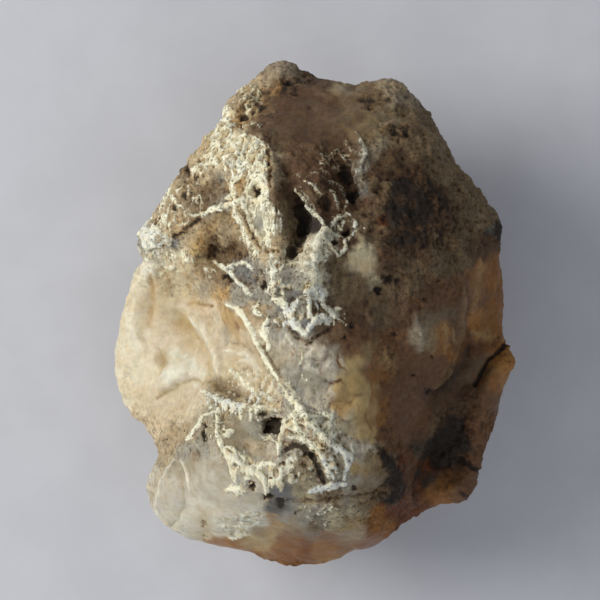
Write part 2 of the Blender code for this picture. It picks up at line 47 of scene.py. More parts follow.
# The plan lies at this height, and the camera looks straight down on it.
PIXELS_PER_MM = 5
MIDDLE_PIXEL = (316, 312)
PLAN_MIDDLE = (-3.2, 2.4)
PLAN_LEVEL = 24.0
CAMERA_AT = (-2.475, 2.747, 500.0)
LENS = 142.8

# The dressed mesh: even cells, softened so that the solid's facets don't show, and thinned in the end.
CELL = 0.36
SOFTENING = 14
TRIANGLES = 196000

# The photographed side fades into the back between these heights, which waver by this much.
FRONT_STARTS = 7.0
FRONT_FULL = 17.0
FRONT_WAVERS = 2.0

# The relief's limits, and the height over the ground below which it dies out.
DEEPEST = 2.2
HIGHEST = 1.1
GROUND_CALM = 3.0
HOLLOW_DEPTH = 0.3

# The crust's height and the ridges of its lacework, the beads, the rounding of courses, and how clear the
# stone is where no oval says so.
CRUST_HEIGHT = 0.22
LACE_SIZE = 2.3
LACE_STRETCH = (1.25, 0.55, 0.8)
BARE_SHARE = 0.92
BACK_CRUST = 0.45
BACK_DIRT = 0.35
BEAD_HEIGHT = 0.38
COURSE_STEPS = 4
CLEAR_ELSEWHERE = 0.3

# How sharply the colour zones meet, in how many kinds of ragged border, how they fade far away, and a weight
# too small to show that keeps the division sound.
ZONE_SHARPNESS = 1.1
ZONE_RAGGED = 1.9
BORDERS = 5
FAR_WEIGHT = 1e-12
FAR_REACH = 3.0
ALMOST_NOTHING = 1e-9

# How much weaker and finer each octave of noise is.
OCTAVE_WEAKER = 0.9
OCTAVE_FINER = 2.1

# The fine bump, and how deep light of each colour goes into the waxy stone.
BUMP_HEIGHT = 0.6
GLOW_DEPTH = 2.0
GLOW_COLOURS = (1.0, 0.62, 0.34)

# A mix node's inputs for its share and its two colours, and its output for their mixture.
MIX_INPUTS = (0, 6, 7)
MIX_COLOUR = 2

# The stage. Lights are square: (place, side, power, colour).
AIM = (0.0, 0.0, 0.03)
FLOOR_HALF = 1.2
FLOOR_COLOUR = (0.60, 0.61, 0.65)
WORLD_COLOUR = (0.88, 0.92, 1.0)
WORLD_STRENGTH = 0.32
LIGHTS = {
    "key": ((-0.70, 0.20, 0.50), 0.5, 6.8, (1.0, 0.97, 0.92)),
    "bounce": ((-0.25, -0.60, 0.25), 0.5, 0.9, (0.95, 0.96, 1.0)),
    "fill": ((0.5, -0.3, 0.8), 0.8, 0.8, (0.95, 0.96, 1.0)),
}

# Mineral colours, as plain surface colours without light. Some are also laid below as painted highlights and
# painted shade, as said there.
CRUST_BLUE = (0.72, 0.76, 0.74)
CRUST_CHALK = (0.92, 0.905, 0.71)
CRUST_CREAM = (0.82, 0.775, 0.54)
CRUST_OCHRE = (0.66, 0.50, 0.24)
CRUST_ASH = (0.38, 0.375, 0.30)
CHALK = (0.68, 0.67, 0.56)
IVORY = (0.64, 0.61, 0.48)
CREAM = (0.66, 0.60, 0.44)
SAND = (0.55, 0.47, 0.31)
OAT = (0.48, 0.45, 0.365)
PEACH = (0.56, 0.475, 0.33)
TAN = (0.40, 0.32, 0.20)
HONEY = (0.34, 0.165, 0.042)
MEAD = (0.46, 0.34, 0.15)
AMBER = (0.25, 0.110, 0.024)
OCHRE = (0.42, 0.28, 0.12)
TAWNY = (0.20, 0.075, 0.010)
SAGE = (0.28, 0.23, 0.16)
DUSK = (0.42, 0.37, 0.24)
ASH = (0.31, 0.295, 0.24)
DUN = (0.33, 0.29, 0.20)
SLATE = (0.18, 0.18, 0.17)
OLIVE = (0.27, 0.20, 0.10)
DRAB = (0.20, 0.145, 0.080)
SMOKE = (0.116, 0.068, 0.031)
BARK = (0.16, 0.112, 0.060)
UMBER = (0.103, 0.056, 0.026)
COCOA = (0.148, 0.074, 0.031)
RUST = (0.12, 0.035, 0.006)
PITCH = (0.105, 0.100, 0.085)
SOOT_AND_SHADE = (0.03, 0.023, 0.017)

# The minerals that drift over the back, and what a colour is multiplied by where it is changed.
BACK_COLOURS = [UMBER, AMBER, TAN, OAT, CREAM, PEACH, TAN, DRAB, BARK]
DEEPER = (0.82, 0.71, 0.54)
PALER = (1.45, 1.42, 1.34)
DARKER = (0.55, 0.49, 0.42)
# EARTH_AND_SHADE tones the dirt and the painted shade in hollows; SHADED is painted shade in hollows.
EARTH_AND_SHADE = (0.62, 0.47, 0.30)
SHADED = (0.4, 0.32, 0.24)

# Where each mineral colour is strongest: (colour, across, down, reach).
ZONES = {
    "crown": [
        (SAGE, 283, 70, 11), (TAN, 252, 96, 11), (DRAB, 268, 96, 9), (SMOKE, 318, 125, 38),
        (DRAB, 350, 100, 22), (SAGE, 396, 94, 17), (OLIVE, 372, 120, 14), (TAN, 340, 90, 7),
        (DRAB, 374, 98, 8), (UMBER, 279, 92, 9), (UMBER, 294, 102, 9), (DRAB, 291, 87, 5), (TAN, 262, 88, 6),
        (OCHRE, 260, 102, 6), (OCHRE, 248, 112, 6), (UMBER, 283, 103, 6), (UMBER, 332, 106, 8),
        (UMBER, 299, 140, 8), (UMBER, 360, 117, 6), (UMBER, 320, 88, 10), (BARK, 422, 130, 18),
        (DRAB, 399, 122, 11), (TAN, 394, 124, 5), (BARK, 437, 154, 16), (DRAB, 466, 188, 8),
        (DRAB, 452, 172, 10), (BARK, 472, 195, 16), (DRAB, 478, 212, 8), (OCHRE, 276, 88, 5),
    ],
    "upper left": [
        (TAN, 243, 104, 12), (OCHRE, 238, 128, 9), (BARK, 249, 137, 6), (BARK, 267, 139, 8),
        (SAND, 236, 152, 20), (SAND, 207, 147, 12), (SAND, 201, 164, 12), (DRAB, 211, 186, 12),
        (ASH, 220, 176, 6), (TAN, 178, 190, 14), (DRAB, 186, 170, 5), (TAN, 165, 216, 16),
        (SAND, 158, 228, 8), (ASH, 149, 240, 14), (SLATE, 170, 240, 5), (OCHRE, 206, 146, 6),
        (OCHRE, 238, 187, 7), (OCHRE, 174, 224, 7), (ASH, 222, 200, 9), (DRAB, 190, 202, 9),
        (TAN, 225, 128, 9), (BARK, 193, 196, 6), (UMBER, 261, 132, 8), (OLIVE, 226, 224, 8),
        (DRAB, 213, 236, 7), (OCHRE, 236, 218, 5),
    ],
    "nose": [
        (SAND, 262, 163, 12), (IVORY, 246, 204, 10), (ASH, 259, 222, 7), (SAND, 250, 235, 8),
        (IVORY, 268, 228, 7), (TAN, 280, 239, 7), (DRAB, 288, 222, 9), (UMBER, 378, 172, 6),
        # SOOT_AND_SHADE at the fissure (303, 222) is painted shade in its slot.
        (UMBER, 348, 245, 5), (SOOT_AND_SHADE, 303, 222, 8), (UMBER, 312, 182, 13), (UMBER, 326, 202, 8),
        (DRAB, 378, 190, 6), (IVORY, 310, 255, 12), (SMOKE, 338, 153, 13), (ASH, 362, 165, 4),
        (RUST, 330, 170, 4), (BARK, 318, 195, 5), (BARK, 372, 214, 7), (SLATE, 362, 196, 4),
        (UMBER, 346, 182, 9), (UMBER, 296, 172, 8), (TAN, 279, 172, 5), (TAN, 379, 146, 7),
        (UMBER, 308, 166, 8), (SAND, 275, 262, 8), (SLATE, 292, 298, 6), (BARK, 336, 262, 6),
    ],
    "eye": [
        (OLIVE, 206, 244, 11), (SAND, 184, 242, 10), (OLIVE, 208, 262, 7), (DRAB, 206, 273, 8),
        (DRAB, 222, 278, 8), (OLIVE, 210, 266, 7), (DRAB, 232, 250, 12), (BARK, 216, 256, 6),
        (MEAD, 202, 246, 6), (DRAB, 214, 270, 6), (SLATE, 241, 272, 8), (ASH, 264, 276, 9),
        (TAN, 228, 228, 8),
    ],
    "shoulder slope": [
        (SAND, 176, 272, 18), (CHALK, 151, 262, 9), (TAN, 204, 284, 9), (OCHRE, 220, 296, 5),
        (PEACH, 205, 312, 9), (ASH, 238, 298, 7), (TAN, 210, 296, 7), (ASH, 205, 286, 6),
    ],
    "cheek": [
        (CREAM, 134, 292, 14), (SAND, 152, 290, 6), (CREAM, 128, 338, 18), (PEACH, 160, 330, 16),
        (PEACH, 188, 325, 12), (MEAD, 187, 323, 5), (CREAM, 126, 375, 16), (CHALK, 181, 369, 10),
        (PEACH, 172, 400, 16), (PEACH, 150, 405, 12), (CREAM, 143, 352, 9), (TAN, 161, 358, 5),
        (PEACH, 205, 345, 10),
    ],
    "temple": [
        (PEACH, 216, 335, 12), (PEACH, 238, 345, 14), (TAN, 253, 350, 6), (TAN, 250, 314, 5),
        (SAND, 250, 385, 12), (OLIVE, 228, 391, 8), (OCHRE, 236, 324, 8), (OCHRE, 228, 312, 5),
        (SAND, 222, 365, 9),
    ],
    "centre": [
        (OAT, 294, 348, 11), (ASH, 281, 330, 9), (DUN, 280, 354, 7), (ASH, 308, 374, 12), (OAT, 333, 366, 9),
        (MEAD, 349, 368, 8), (SLATE, 300, 332, 6), (OAT, 320, 346, 8), (BARK, 330, 330, 10),
        (MEAD, 350, 384, 9), (OLIVE, 362, 357, 9), (MEAD, 360, 402, 12), (OCHRE, 339, 411, 7),
        (OAT, 318, 397, 8), (BARK, 322, 338, 6), (COCOA, 351, 353, 5), (AMBER, 375, 417, 6),
        (AMBER, 380, 402, 7), (COCOA, 392, 404, 11), (AMBER, 380, 366, 9), (COCOA, 402, 392, 13),
        (COCOA, 392, 432, 9), (ASH, 290, 280, 8), (DUSK, 345, 426, 10), (OAT, 362, 452, 7),
        (MEAD, 364, 432, 7),
    ],
    "right half": [
        (BARK, 404, 280, 18), (BARK, 436, 262, 12), (COCOA, 446, 290, 9), (BARK, 350, 292, 10),
        (BARK, 382, 314, 8), (COCOA, 424, 304, 9), (UMBER, 402, 312, 12), (UMBER, 361, 318, 9),
        (UMBER, 346, 316, 6), (COCOA, 357, 338, 8), (COCOA, 335, 340, 5), (DUSK, 358, 256, 7),
        (SAND, 365, 266, 5), (DUSK, 373, 279, 5), (UMBER, 418, 257, 9), (UMBER, 388, 262, 7),
        (SMOKE, 424, 203, 17), (SOOT_AND_SHADE, 400, 186, 6), (SOOT_AND_SHADE, 413, 196, 5), (SOOT_AND_SHADE, 397, 206, 5),
        (UMBER, 405, 198, 5), (SOOT_AND_SHADE, 430, 212, 5), (UMBER, 444, 214, 10), (SOOT_AND_SHADE, 414, 216, 5),
        (UMBER, 404, 227, 7), (SOOT_AND_SHADE, 391, 222, 4), (SOOT_AND_SHADE, 408, 236, 4), (UMBER, 412, 178, 9),
        (SMOKE, 392, 160, 7), (UMBER, 480, 248, 6), (BARK, 456, 240, 16), (BARK, 386, 232, 9),
        (RUST, 384, 222, 4), (PITCH, 499, 230, 4), (UMBER, 490, 244, 6), (SAGE, 417, 335, 7),
        (DRAB, 430, 322, 7), (HONEY, 439, 336, 6), (OLIVE, 430, 338, 6), (COCOA, 398, 346, 11),
        (COCOA, 460, 330, 8), (BARK, 452, 318, 6), (AMBER, 446, 348, 6), (AMBER, 480, 290, 8),
        (COCOA, 462, 296, 9), (AMBER, 485, 276, 8), (AMBER, 493, 264, 6), (AMBER, 489, 306, 7),
        (COCOA, 484, 300, 8), (COCOA, 466, 346, 7), (HONEY, 478, 318, 6), (OCHRE, 487, 338, 5),
        (AMBER, 490, 326, 7), (COCOA, 478, 352, 8), (AMBER, 489, 350, 8), (COCOA, 425, 374, 12),
        (COCOA, 414, 416, 12), (UMBER, 438, 404, 9), (UMBER, 427, 397, 6),
    ],
    "ear and foot": [
        (HONEY, 503, 366, 9), (AMBER, 493, 384, 5), (COCOA, 489, 405, 8), (BARK, 484, 373, 9),
        (COCOA, 478, 382, 6), (UMBER, 464, 392, 11), (SOOT_AND_SHADE, 447, 446, 14), (SOOT_AND_SHADE, 430, 451, 8),
        (COCOA, 466, 462, 6), (COCOA, 477, 432, 9), (RUST, 411, 490, 14), (RUST, 401, 501, 8),
        (AMBER, 440, 490, 9), (SOOT_AND_SHADE, 418, 476, 5), (SOOT_AND_SHADE, 432, 480, 5), (COCOA, 460, 484, 9),
        (RUST, 422, 470, 8),
    ],
    "chin": [
        (SAGE, 362, 476, 8), (OLIVE, 373, 462, 7), (MEAD, 357, 466, 6), (ASH, 349, 486, 7),
        (DRAB, 379, 484, 7), (AMBER, 384, 528, 10), (RUST, 397, 512, 7), (RUST, 396, 526, 6),
        (OLIVE, 352, 532, 9), (DUN, 350, 508, 8), (OLIVE, 352, 522, 6), (AMBER, 291, 539, 7),
        (TAWNY, 300, 554, 6), (HONEY, 234, 550, 7), (AMBER, 250, 554, 7), (HONEY, 326, 549, 7),
        (AMBER, 347, 546, 7), (MEAD, 265, 540, 8), (AMBER, 276, 554, 7), (MEAD, 250, 544, 6),
        (TAWNY, 374, 538, 9), (DRAB, 318, 533, 7), (AMBER, 332, 538, 7), (OCHRE, 276, 525, 6),
        (ASH, 294, 518, 7), (PITCH, 280, 507, 5), (IVORY, 248, 518, 9), (ASH, 322, 509, 8),
        (DUSK, 336, 518, 7), (IVORY, 220, 518, 9), (IVORY, 198, 514, 10), (HONEY, 222, 549, 7),
        (OAT, 213, 484, 18), (OAT, 150, 474, 8), (SAND, 205, 524, 7), (OAT, 236, 496, 10),
        (OAT, 172, 490, 12), (DUN, 168, 462, 9), (ASH, 190, 452, 10), (TAN, 181, 432, 9), (TAN, 168, 452, 7),
        (DUN, 195, 424, 6),
    ],
    "mouth": [
        (DUN, 237, 435, 12), (OAT, 257, 424, 6), (DUN, 226, 408, 10), (PEACH, 250, 446, 5),
        (OAT, 296, 440, 9), (CHALK, 320, 424, 7), (OAT, 336, 440, 6), (DUN, 306, 470, 8), (ASH, 336, 470, 8),
        (SLATE, 284, 497, 5), (DUSK, 308, 496, 7), (DRAB, 330, 500, 8), (DRAB, 362, 495, 8),
        (ASH, 301, 505, 5), (DRAB, 380, 462, 6), (OLIVE, 290, 531, 7), (OLIVE, 346, 538, 7),
        (OLIVE, 262, 535, 6), (SOOT_AND_SHADE, 386, 478, 4), (SOOT_AND_SHADE, 392, 494, 4), (OLIVE, 383, 362, 7),
        (TAN, 278, 172, 6), (UMBER, 363, 201, 5), (TAWNY, 377, 536, 7), (BARK, 321, 341, 5),
        (COCOA, 336, 327, 5), (DUN, 196, 466, 7), (DUN, 223, 467, 7), (DRAB, 437, 146, 6), (TAN, 334, 168, 4),
    ],
}

# Veins of crust that stand out: (half width, height, cover, course).
VEINS = {
    "eyebrow": [(0.55, 0.5, 0.73, [(178, 233), (198, 216), (215, 209), (232, 203), (243, 198)])],
    "nose": [
        (0.5, 0.6, 0.86, [(243, 198), (246, 215), (252, 228), (259, 241), (264, 251)]),
        (0.48, 0.7, 0.86, [(261, 196), (265, 215), (267, 235), (269, 250)]),
        (0.32, 0.5, 0.66, [(273, 208), (275, 223), (275, 238)]),
        (0.3, 0.4, 0.5, [(279, 208), (281, 221), (280, 233)]),
        (0.42, 0.4, 0.69, [(234, 205), (239, 222), (247, 238), (257, 252)]),
        (0.45, 0.5, 0.95, [(247, 192), (251, 183), (261, 183), (265, 193), (258, 201), (249, 198)]),
    ],
    "bridge and bank": [
        (0.5, 0.5, 0.68, [(269, 250), (273, 265), (274, 280), (268, 292)]),
        (0.38, 0.7, 0.64, [(296, 189), (302, 198), (309, 208), (319, 217), (326, 227)]),
        (0.7, 0.6, 0.9, [(325, 228), (318, 242), (315, 256), (314, 268)]),
        (0.8, 0.5, 0.9, [(314, 266), (314, 277), (317, 287), (322, 296)]),
        (1, 0.5, 1, [(315, 288), (322, 300)]), (0.5, 0.5, 0.77, [(306, 264), (316, 262), (326, 256)]),
        (0.35, 0.5, 0.66, [(277, 270), (288, 265), (299, 263)]),
    ],
    "chevron": [
        (0.75, 0.6, 0.86, [(272, 299), (283, 303), (289, 314), (297, 326), (306, 335)]),
        (0.55, 0.6, 0.8, [(306, 335), (312, 324), (321, 316), (331, 321)]),
        (0.45, 0.5, 0.77, [(308, 298), (310, 308), (308, 318)]),
        (0.6, 0.5, 0.72, [(323, 304), (329, 310), (335, 317)]),
        (0.26, 0.4, 0.62, [(333, 316), (340, 321), (346, 325)]),
        (0.45, 0.5, 0.77, [(258, 303), (255, 311), (262, 316)]),
    ],
    "curls": [
        (0.36, 0.5, 0.58, [(330, 230), (336, 219), (344, 214), (350, 217)]),
        (0.38, 0.6, 0.66, [(327, 240), (332, 250), (338, 255), (345, 249), (345, 240)]),
        (0.42, 0.5, 0.58, [(322, 228), (332, 232), (342, 236)]),
    ],
    "brow": [
        (0.42, 0.45, 0.46, [(356, 134), (364, 150), (360, 166), (356, 178), (361, 187)]),
        (0.95, 0.3, 0.2, [(361, 162), (358, 172), (357, 184)]),
        (0.5, 0.6, 0.38, [(319, 146), (328, 157), (338, 150), (349, 166)]),
        (0.36, 0.4, 0.36, [(296, 175), (306, 177), (316, 174), (331, 181)]),
        (0.32, 0.35, 0.55, [(303, 181), (314, 186), (321, 197), (326, 212)]),
        (0.3, 0.35, 0.4, [(300, 186), (308, 198), (317, 210)]),
        (0.34, 0.35, 0.5, [(331, 181), (340, 187), (347, 199), (343, 212)]),
        (0.34, 0.5, 0.45, [(318, 152), (325, 163), (336, 170), (349, 172)]),
        (0.32, 0.5, 0.42, [(336, 150), (344, 158), (352, 160)]),
        (0.32, 0.4, 0.4, [(346, 141), (351, 150), (362, 156)]),
        (0.4, 0.4, 0.52, [(330, 190), (336, 198), (339, 210)]),
    ],
    "eye": [
        (0.42, 0.4, 0.66, [(214, 261), (226, 268), (243, 262), (252, 270)]),
        (0.4, 0.4, 0.7, [(225, 268), (238, 282), (251, 294)]),
    ],
    "seam": [
        (0.4, 0.6, 0.9, [(229, 306), (240, 311), (248, 325), (256, 341), (264, 356)]),
        (0.66, 0.7, 1, [(259, 347), (276, 373), (289, 393)]),
        (0.85, 0.7, 1, [(281, 381), (291, 394), (298, 404)]),
        (0.55, 0.6, 0.77, [(269, 318), (263, 333), (268, 344), (265, 354)]),
    ],
    "hub": [
        (0.36, 0.5, 0.74, [(283, 420), (296, 415), (310, 417), (333, 414)]),
        (0.54, 0.6, 0.84, [(297, 403), (304, 412), (306, 424)]),
        (0.4, 0.8, 0.84, [(284, 419), (282, 435), (279, 455)]),
        (0.46, 0.6, 0.8, [(287, 425), (296, 430), (303, 434)]),
        (0.3, 0.3, 0.8, [(316, 413), (326, 413), (332, 420)]),
        (0.22, 0.25, 0.6, [(318, 428), (330, 425), (337, 433)]),
        (0.7, 0.7, 0.9, [(301, 408), (311, 422), (322, 434), (336, 446), (351, 458)]),
    ],
    "mouth": [
        (0.42, 0.3, 0.66, [(344, 452), (347, 464), (344, 480)]),
        (0.42, 0.5, 0.86, [(290, 437), (308, 441), (319, 453), (327, 466), (334, 478)]),
        (0.65, 0.4, 0.77, [(309, 492), (325, 487), (345, 484)]),
    ],
    "lips": [
        (0.6, 0.6, 0.62, [(203, 391), (215, 398), (229, 403), (246, 405), (262, 408), (279, 412)]),
        (0.38, 0.4, 0.66, [(188, 440), (198, 426), (206, 415), (215, 411)]),
        (0.44, 0.6, 0.74, [(218, 408), (217, 421), (219, 435), (223, 446)]),
        (0.5, 0.4, 0.77, [(224, 436), (233, 431)]),
        (0.66, 0.7, 0.74, [(220, 443), (226, 453), (234, 460), (246, 466), (256, 472), (264, 480),
         (267, 492)]), (0.4, 0.4, 0.72, [(226, 447), (236, 450), (243, 457), (249, 465)]),
        (0.42, 0.5, 0.74, [(231, 460), (232, 472), (238, 484)]),
        (0.5, 0.4, 0.74, [(226, 489), (233, 490), (242, 488)]), (0.4, 0.4, 0.85, [(240, 406), (241, 419)]),
        (0.26, 0.4, 0.9, [(249, 408), (250, 420)]), (0.24, 0.4, 0.9, [(256, 409), (258, 421)]),
        (0.24, 0.3, 0.66, [(257, 431), (263, 438), (272, 439), (279, 444)]),
    ],
    "temple": [(0.6, 0.3, 0.65, [(232, 370), (242, 380), (254, 393)])],
}

# Patches of crust: ovals (across, down, half width, half length, cover, turn in degrees if any).
CRUST = {
    "upper left": [
        (234, 152, 34, 32, 0.9), (262, 165, 9, 28, 0.85, 5), (228, 122, 12, 14, 0.62, -30),
        (201, 163, 6, 14, 1, -25), (175, 207, 20, 34, 0.46, -38), (153, 240, 13, 17, 1),
        (176, 262, 26, 13, 0.46, 25), (210, 276, 36, 12, 0.2, 18),
    ],
    "nose": [(255, 212, 20, 46, 0.7), (238, 200, 14, 16, 0.78)],
    "bridge and bank": [
        (280, 276, 26, 22, 0.44), (317, 262, 7, 24, 1.2), (319, 272, 9, 20, 0.7),
        (298, 310, 28, 13, 0.58, 18), (313, 289, 13, 10, 1.2, 10), (319, 293, 9, 9, 1.4),
        (336, 313, 14, 10, 0.5, 30),
    ],
    "brow": [
        (335, 160, 20, 16, 0.28), (361, 164, 7, 28, 0.14), (340, 230, 20, 20, 0.34),
        (357, 231, 8, 7, 0.62, 30), (364, 262, 8, 15, 0.12, 35),
    ],
    "lips": [
        (240, 402, 44, 7, 0.58, 8), (222, 430, 12, 28, 0.48), (246, 465, 7, 31, 0.72, 53),
        (242, 466, 13, 34, 0.42, 53), (274, 474, 17, 16, 0.68), (289, 464, 9, 12, 1.05),
        (237, 452, 9, 6, 0.75, 40), (302, 476, 12, 6, 0.7, 25), (234, 488, 10, 5, 0.72, -10),
    ],
    "mouth": [(306, 424, 26, 12, 0.75), (328, 456, 24, 28, 0.66, 10)],
    "chin": [
        (252, 515, 11, 7, 1.5), (246, 525, 14, 6, 1.4, 20), (236, 532, 10, 6, 1, 30), (318, 511, 20, 9, 0.5),
        (228, 524, 12, 9, 0.42),
    ],
    "centre": [
        (300, 407, 5, 8, 0.9), (266, 334, 8, 20, 0.5), (240, 380, 20, 14, 0.3, 40), (301, 358, 6, 26, 0.44),
        (416, 336, 5, 14, 0.22, 15),
    ],
    "crown": [(251, 98, 15, 18, 0.66, 25)],
}

# Places left bare in the crust: ovals.
BARE = {
    "upper left": [(216, 180, 15, 14)],
    "eye": [(212, 246, 31, 14, -8), (227, 279, 5, 8, 45)],
    "nose and bank": [
        (259, 224, 5, 19, -3), (291, 254, 8, 11), (293, 296, 9, 6, 20), (241, 272, 8, 9, -30),
        (291, 276, 8, 9), (310, 188, 11, 17, -20), (290, 222, 7, 34, 8), (283, 242, 6, 8),
    ],
    "mouth": [(242, 437, 18, 13), (303, 464, 6, 8), (341, 462, 4, 8, -30), (322, 418, 7, 4, 20)],
    "crown": [(255, 131, 10, 6)],
}

# Pits and dark stains: ovals, each with its depth and darkness. In the fissure the darkness is painted shade.
PITS = {
    "crown": [
        (243, 118, 4, 5, 0.9, 0.95, -20), (240, 127, 3, 4, 0.7, 0.9), (253, 113, 3, 3, 0.4, 0.7),
        (267, 138, 6, 6, 0.4, 0.6, 20), (283, 82, 4, 5, 0.3, 0.6, 10), (296, 88, 6, 3, 0.3, 0.6, 20),
        (310, 108, 3, 3, 0.2, 0.5), (362, 99, 4, 3, 0.3, 0.6), (369, 108, 3, 4, 0.3, 0.6),
        (394, 133, 6, 3, 0.4, 0.7, -10), (405, 128, 5, 3, 0.3, 0.6, -30),
    ],
    "nose and bridge": [(256, 192, 3.5, 4.5, 1.2, 1, 40), (264, 286, 3.5, 4.5, 1, 1, -30)],
    "upper left": [
        (187, 169, 3, 8, 0.9, 0.9, 12), (195, 178, 3, 3, 0.5, 0.8), (173, 207, 3, 3, 0.5, 0.85),
        (185, 197, 3, 4, 0.5, 0.75), (157, 221, 3, 4, 0.5, 0.75, -30),
    ],
    "eye": [
        (213, 252, 6, 10, 0.7, 0.48, -15), (216, 238, 2, 4, 0.5, 0.5), (231, 251, 8, 8, 0.5, 0.42),
        (246, 256, 2, 5, 0.4, 0.6, 15), (226, 279, 3, 7, 0.8, 0.9, 45),
    ],
    "curls": [(347, 232, 3, 5, 1.2, 1, -40), (336, 242, 5, 3, 1, 0.9)],
    "brow": [
        (352, 196, 6, 7, 1.6, 1, 20), (345, 177, 6, 12, 1, 0.8, 20), (334, 161, 6, 4, 0.4, 0.45, 30),
        (326, 203, 7, 9, 0.8, 0.6, 10),
    ],
    # The darkness of the fissure's pits is painted shade.
    "fissure": [(303, 226, 5, 12, 0.8, 0.7, -5), (293, 250, 6, 8, 0.8, 0.8, -40)],
    "mouth": [
        (275, 426, 9, 9, 2.2, 1), (266, 423, 5, 6, 0.5, 0.1), (268, 431, 4, 4, 1, 0.9),
        (263, 415, 4, 2.5, 0.6, 0.8), (204, 432, 3, 11, 1.2, 0.9, -3), (252, 487, 4, 5, 1, 0.85, 10),
        (268, 497, 6, 4, 1, 0.9), (304, 466, 5, 4, 0.3, 0.5),
    ],
    "lower lip": [
        (282, 463, 2, 3, 0.4, 0.7, -20), (277, 471, 2, 2, 0.3, 0.6), (271, 478, 3, 2, 0.3, 0.7),
        (281, 503, 5, 8, 0.3, 0.75, 20), (297, 512, 5, 3, 0.2, 0.6, 30),
    ],
    "right half": [
        (378, 291, 5, 4, 0.8, 0.95, -30), (387, 279, 6, 7, 0.6, 0.85, -40), (398, 281, 4, 4, 0.4, 0.8),
        (419, 308, 3, 4, 0.3, 0.6), (425, 299, 3, 3, 0.3, 0.6), (431, 357, 2.5, 2.5, 0.3, 0.7),
        (429, 391, 4, 3, 0.6, 0.8, 10), (413, 375, 4, 3, 0.3, 0.6), (393, 335, 4, 4, 0.3, 0.6, 40),
        (344, 336, 4, 3, 0.4, 0.7, 30), (352, 325, 3, 5, 0.4, 0.7, 40),
    ],
    "chin": [
        (354, 488, 4, 4, 0.3, 0.85, 20), (204, 524, 4, 4, 0.2, 0.5), (178, 533, 7, 2, 0.2, 0.45),
        (204, 537, 5, 2, 0.2, 0.45), (196, 455, 7, 9, 0.3, 0.35, 30),
    ],
    "right edge": [
        (498, 231, 5, 13, 0, 0.8), (464, 494, 7, 3, 0, 0.7, -35), (442, 447, 19, 14, 0, 0.66, -20),
    ],
}

# Dark cracks and lines: (half width, depth, darkness, course).
CRACKS = {
    "fissure": [
        # The fissure's darkness is painted shade in its deep slot.
        (0.5, 0.1, 0.25, [(284, 165), (290, 182), (295, 200)]),
        (1.3, 0.7, 0.6, [(297, 205), (304, 222), (301, 238), (293, 253)]),
    ],
    "chevron and mouth": [
        (0.4, 0.2, 0.6, [(290, 326), (297, 337), (308, 343), (320, 336), (331, 330)]),
        (0.35, 0.2, 0.5, [(288, 500), (318, 501), (348, 497), (378, 492)]),
        (0.45, 0.15, 1, [(286, 450), (294, 445), (303, 447), (312, 456), (318, 466), (323, 481)]),
    ],
    "ear and foot": [
        (0.25, 0.6, 0.85, [(507, 344), (497, 352), (487, 362), (480, 374), (474, 384)]),
        (0.5, 0.5, 0.85, [(456, 457), (466, 464), (477, 470)]),
    ],
    "eyebrow and nose": [
        # The first of these lines, under the eyebrow vein, is painted shade.
        (0.6, 0.3, 0.7, [(175, 237), (186, 229), (199, 219)]), (0.3, 0.2, 0.6, [(265, 250), (278, 251)]),
        (0.3, 0.3, 0.6, [(268, 150), (270, 172), (270, 186)]),
        (0.4, 0.3, 0.6, [(240, 205), (246, 222), (254, 238), (260, 247)]),
    ],
    "beads and seam": [
        (0.12, 0.1, 0.25, [(339, 353), (337, 360), (340, 367), (345, 369)]),
        (0.12, 0.1, 0.3, [(326, 381), (332, 383), (341, 381)]),
        (0.08, 0.15, 0.4, [(262, 345), (277, 370), (291, 396)]),
    ],
    "black crust": [
        (0.15, -0.1, 0.8, [(377, 448), (384, 458), (390, 468), (396, 480), (397, 492), (389, 502)]),
        (0.12, -0.1, 0.7, [(379, 458), (388, 463), (397, 470)]),
    ],
    "right ledge": [(0.4, 0.2, 0.35, [(462, 345), (450, 372), (437, 388)])],
    "temple": [(0.4, 0.2, 0.32, [(199, 304), (206, 305), (212, 306)])],
}

# Rounded beads of clear chalcedony: (across, down, radius).
BEADS = [
    (364, 357, 12), (357, 383, 12), (362, 405, 11), (334, 368, 13), (337, 391, 10), (382, 362, 11),
    (318, 352, 9), (349, 412, 9), (342, 428, 8), (363, 432, 9), (372, 447, 8), (352, 448, 8), (322, 404, 8),
    (386, 232, 7), (386, 250, 8), (455, 245, 7), (480, 228, 7),
]

# Where fibres run along the stone: ovals with a share.
STREAKS = {
    "nose": [(268, 222, 18, 34, 1), (262, 162, 14, 24, 0.8), (288, 220, 9, 34, 0.6, 8)],
    "mouth": [(325, 438, 22, 30, 0.5, 40)],
    "temple": [(268, 385, 16, 16, 0.5)],
}

# Where the stone is clear and waxy, and where it is dry: ovals with a share.
CLEAR = {
    "left": [(165, 345, 60, 85, 0.95), (238, 350, 36, 45, 0.85, 20), (185, 280, 40, 20, 0.6)],
    "centre": [(310, 360, 45, 45, 0.65), (358, 395, 26, 55, 1)],
    "chin": [(230, 505, 90, 62, 0.95), (320, 545, 90, 18, 1)],
    "right": [
        (440, 345, 50, 60, 0.6), (485, 300, 25, 50, 0.7), (495, 385, 22, 40, 0.8, 20),
        (440, 490, 45, 20, 0.6, 20),
    ],
    "inner right": [
        (365, 266, 16, 20, 0.9), (360, 475, 22, 24, 0.75), (368, 308, 42, 40, 0.55), (412, 400, 30, 45, 0.7),
    ],
    "slot and mouth": [(259, 224, 8, 20, 0.9), (243, 434, 22, 20, 0.9)],
    "crown": [(325, 115, 70, 34, 0.8)],
}

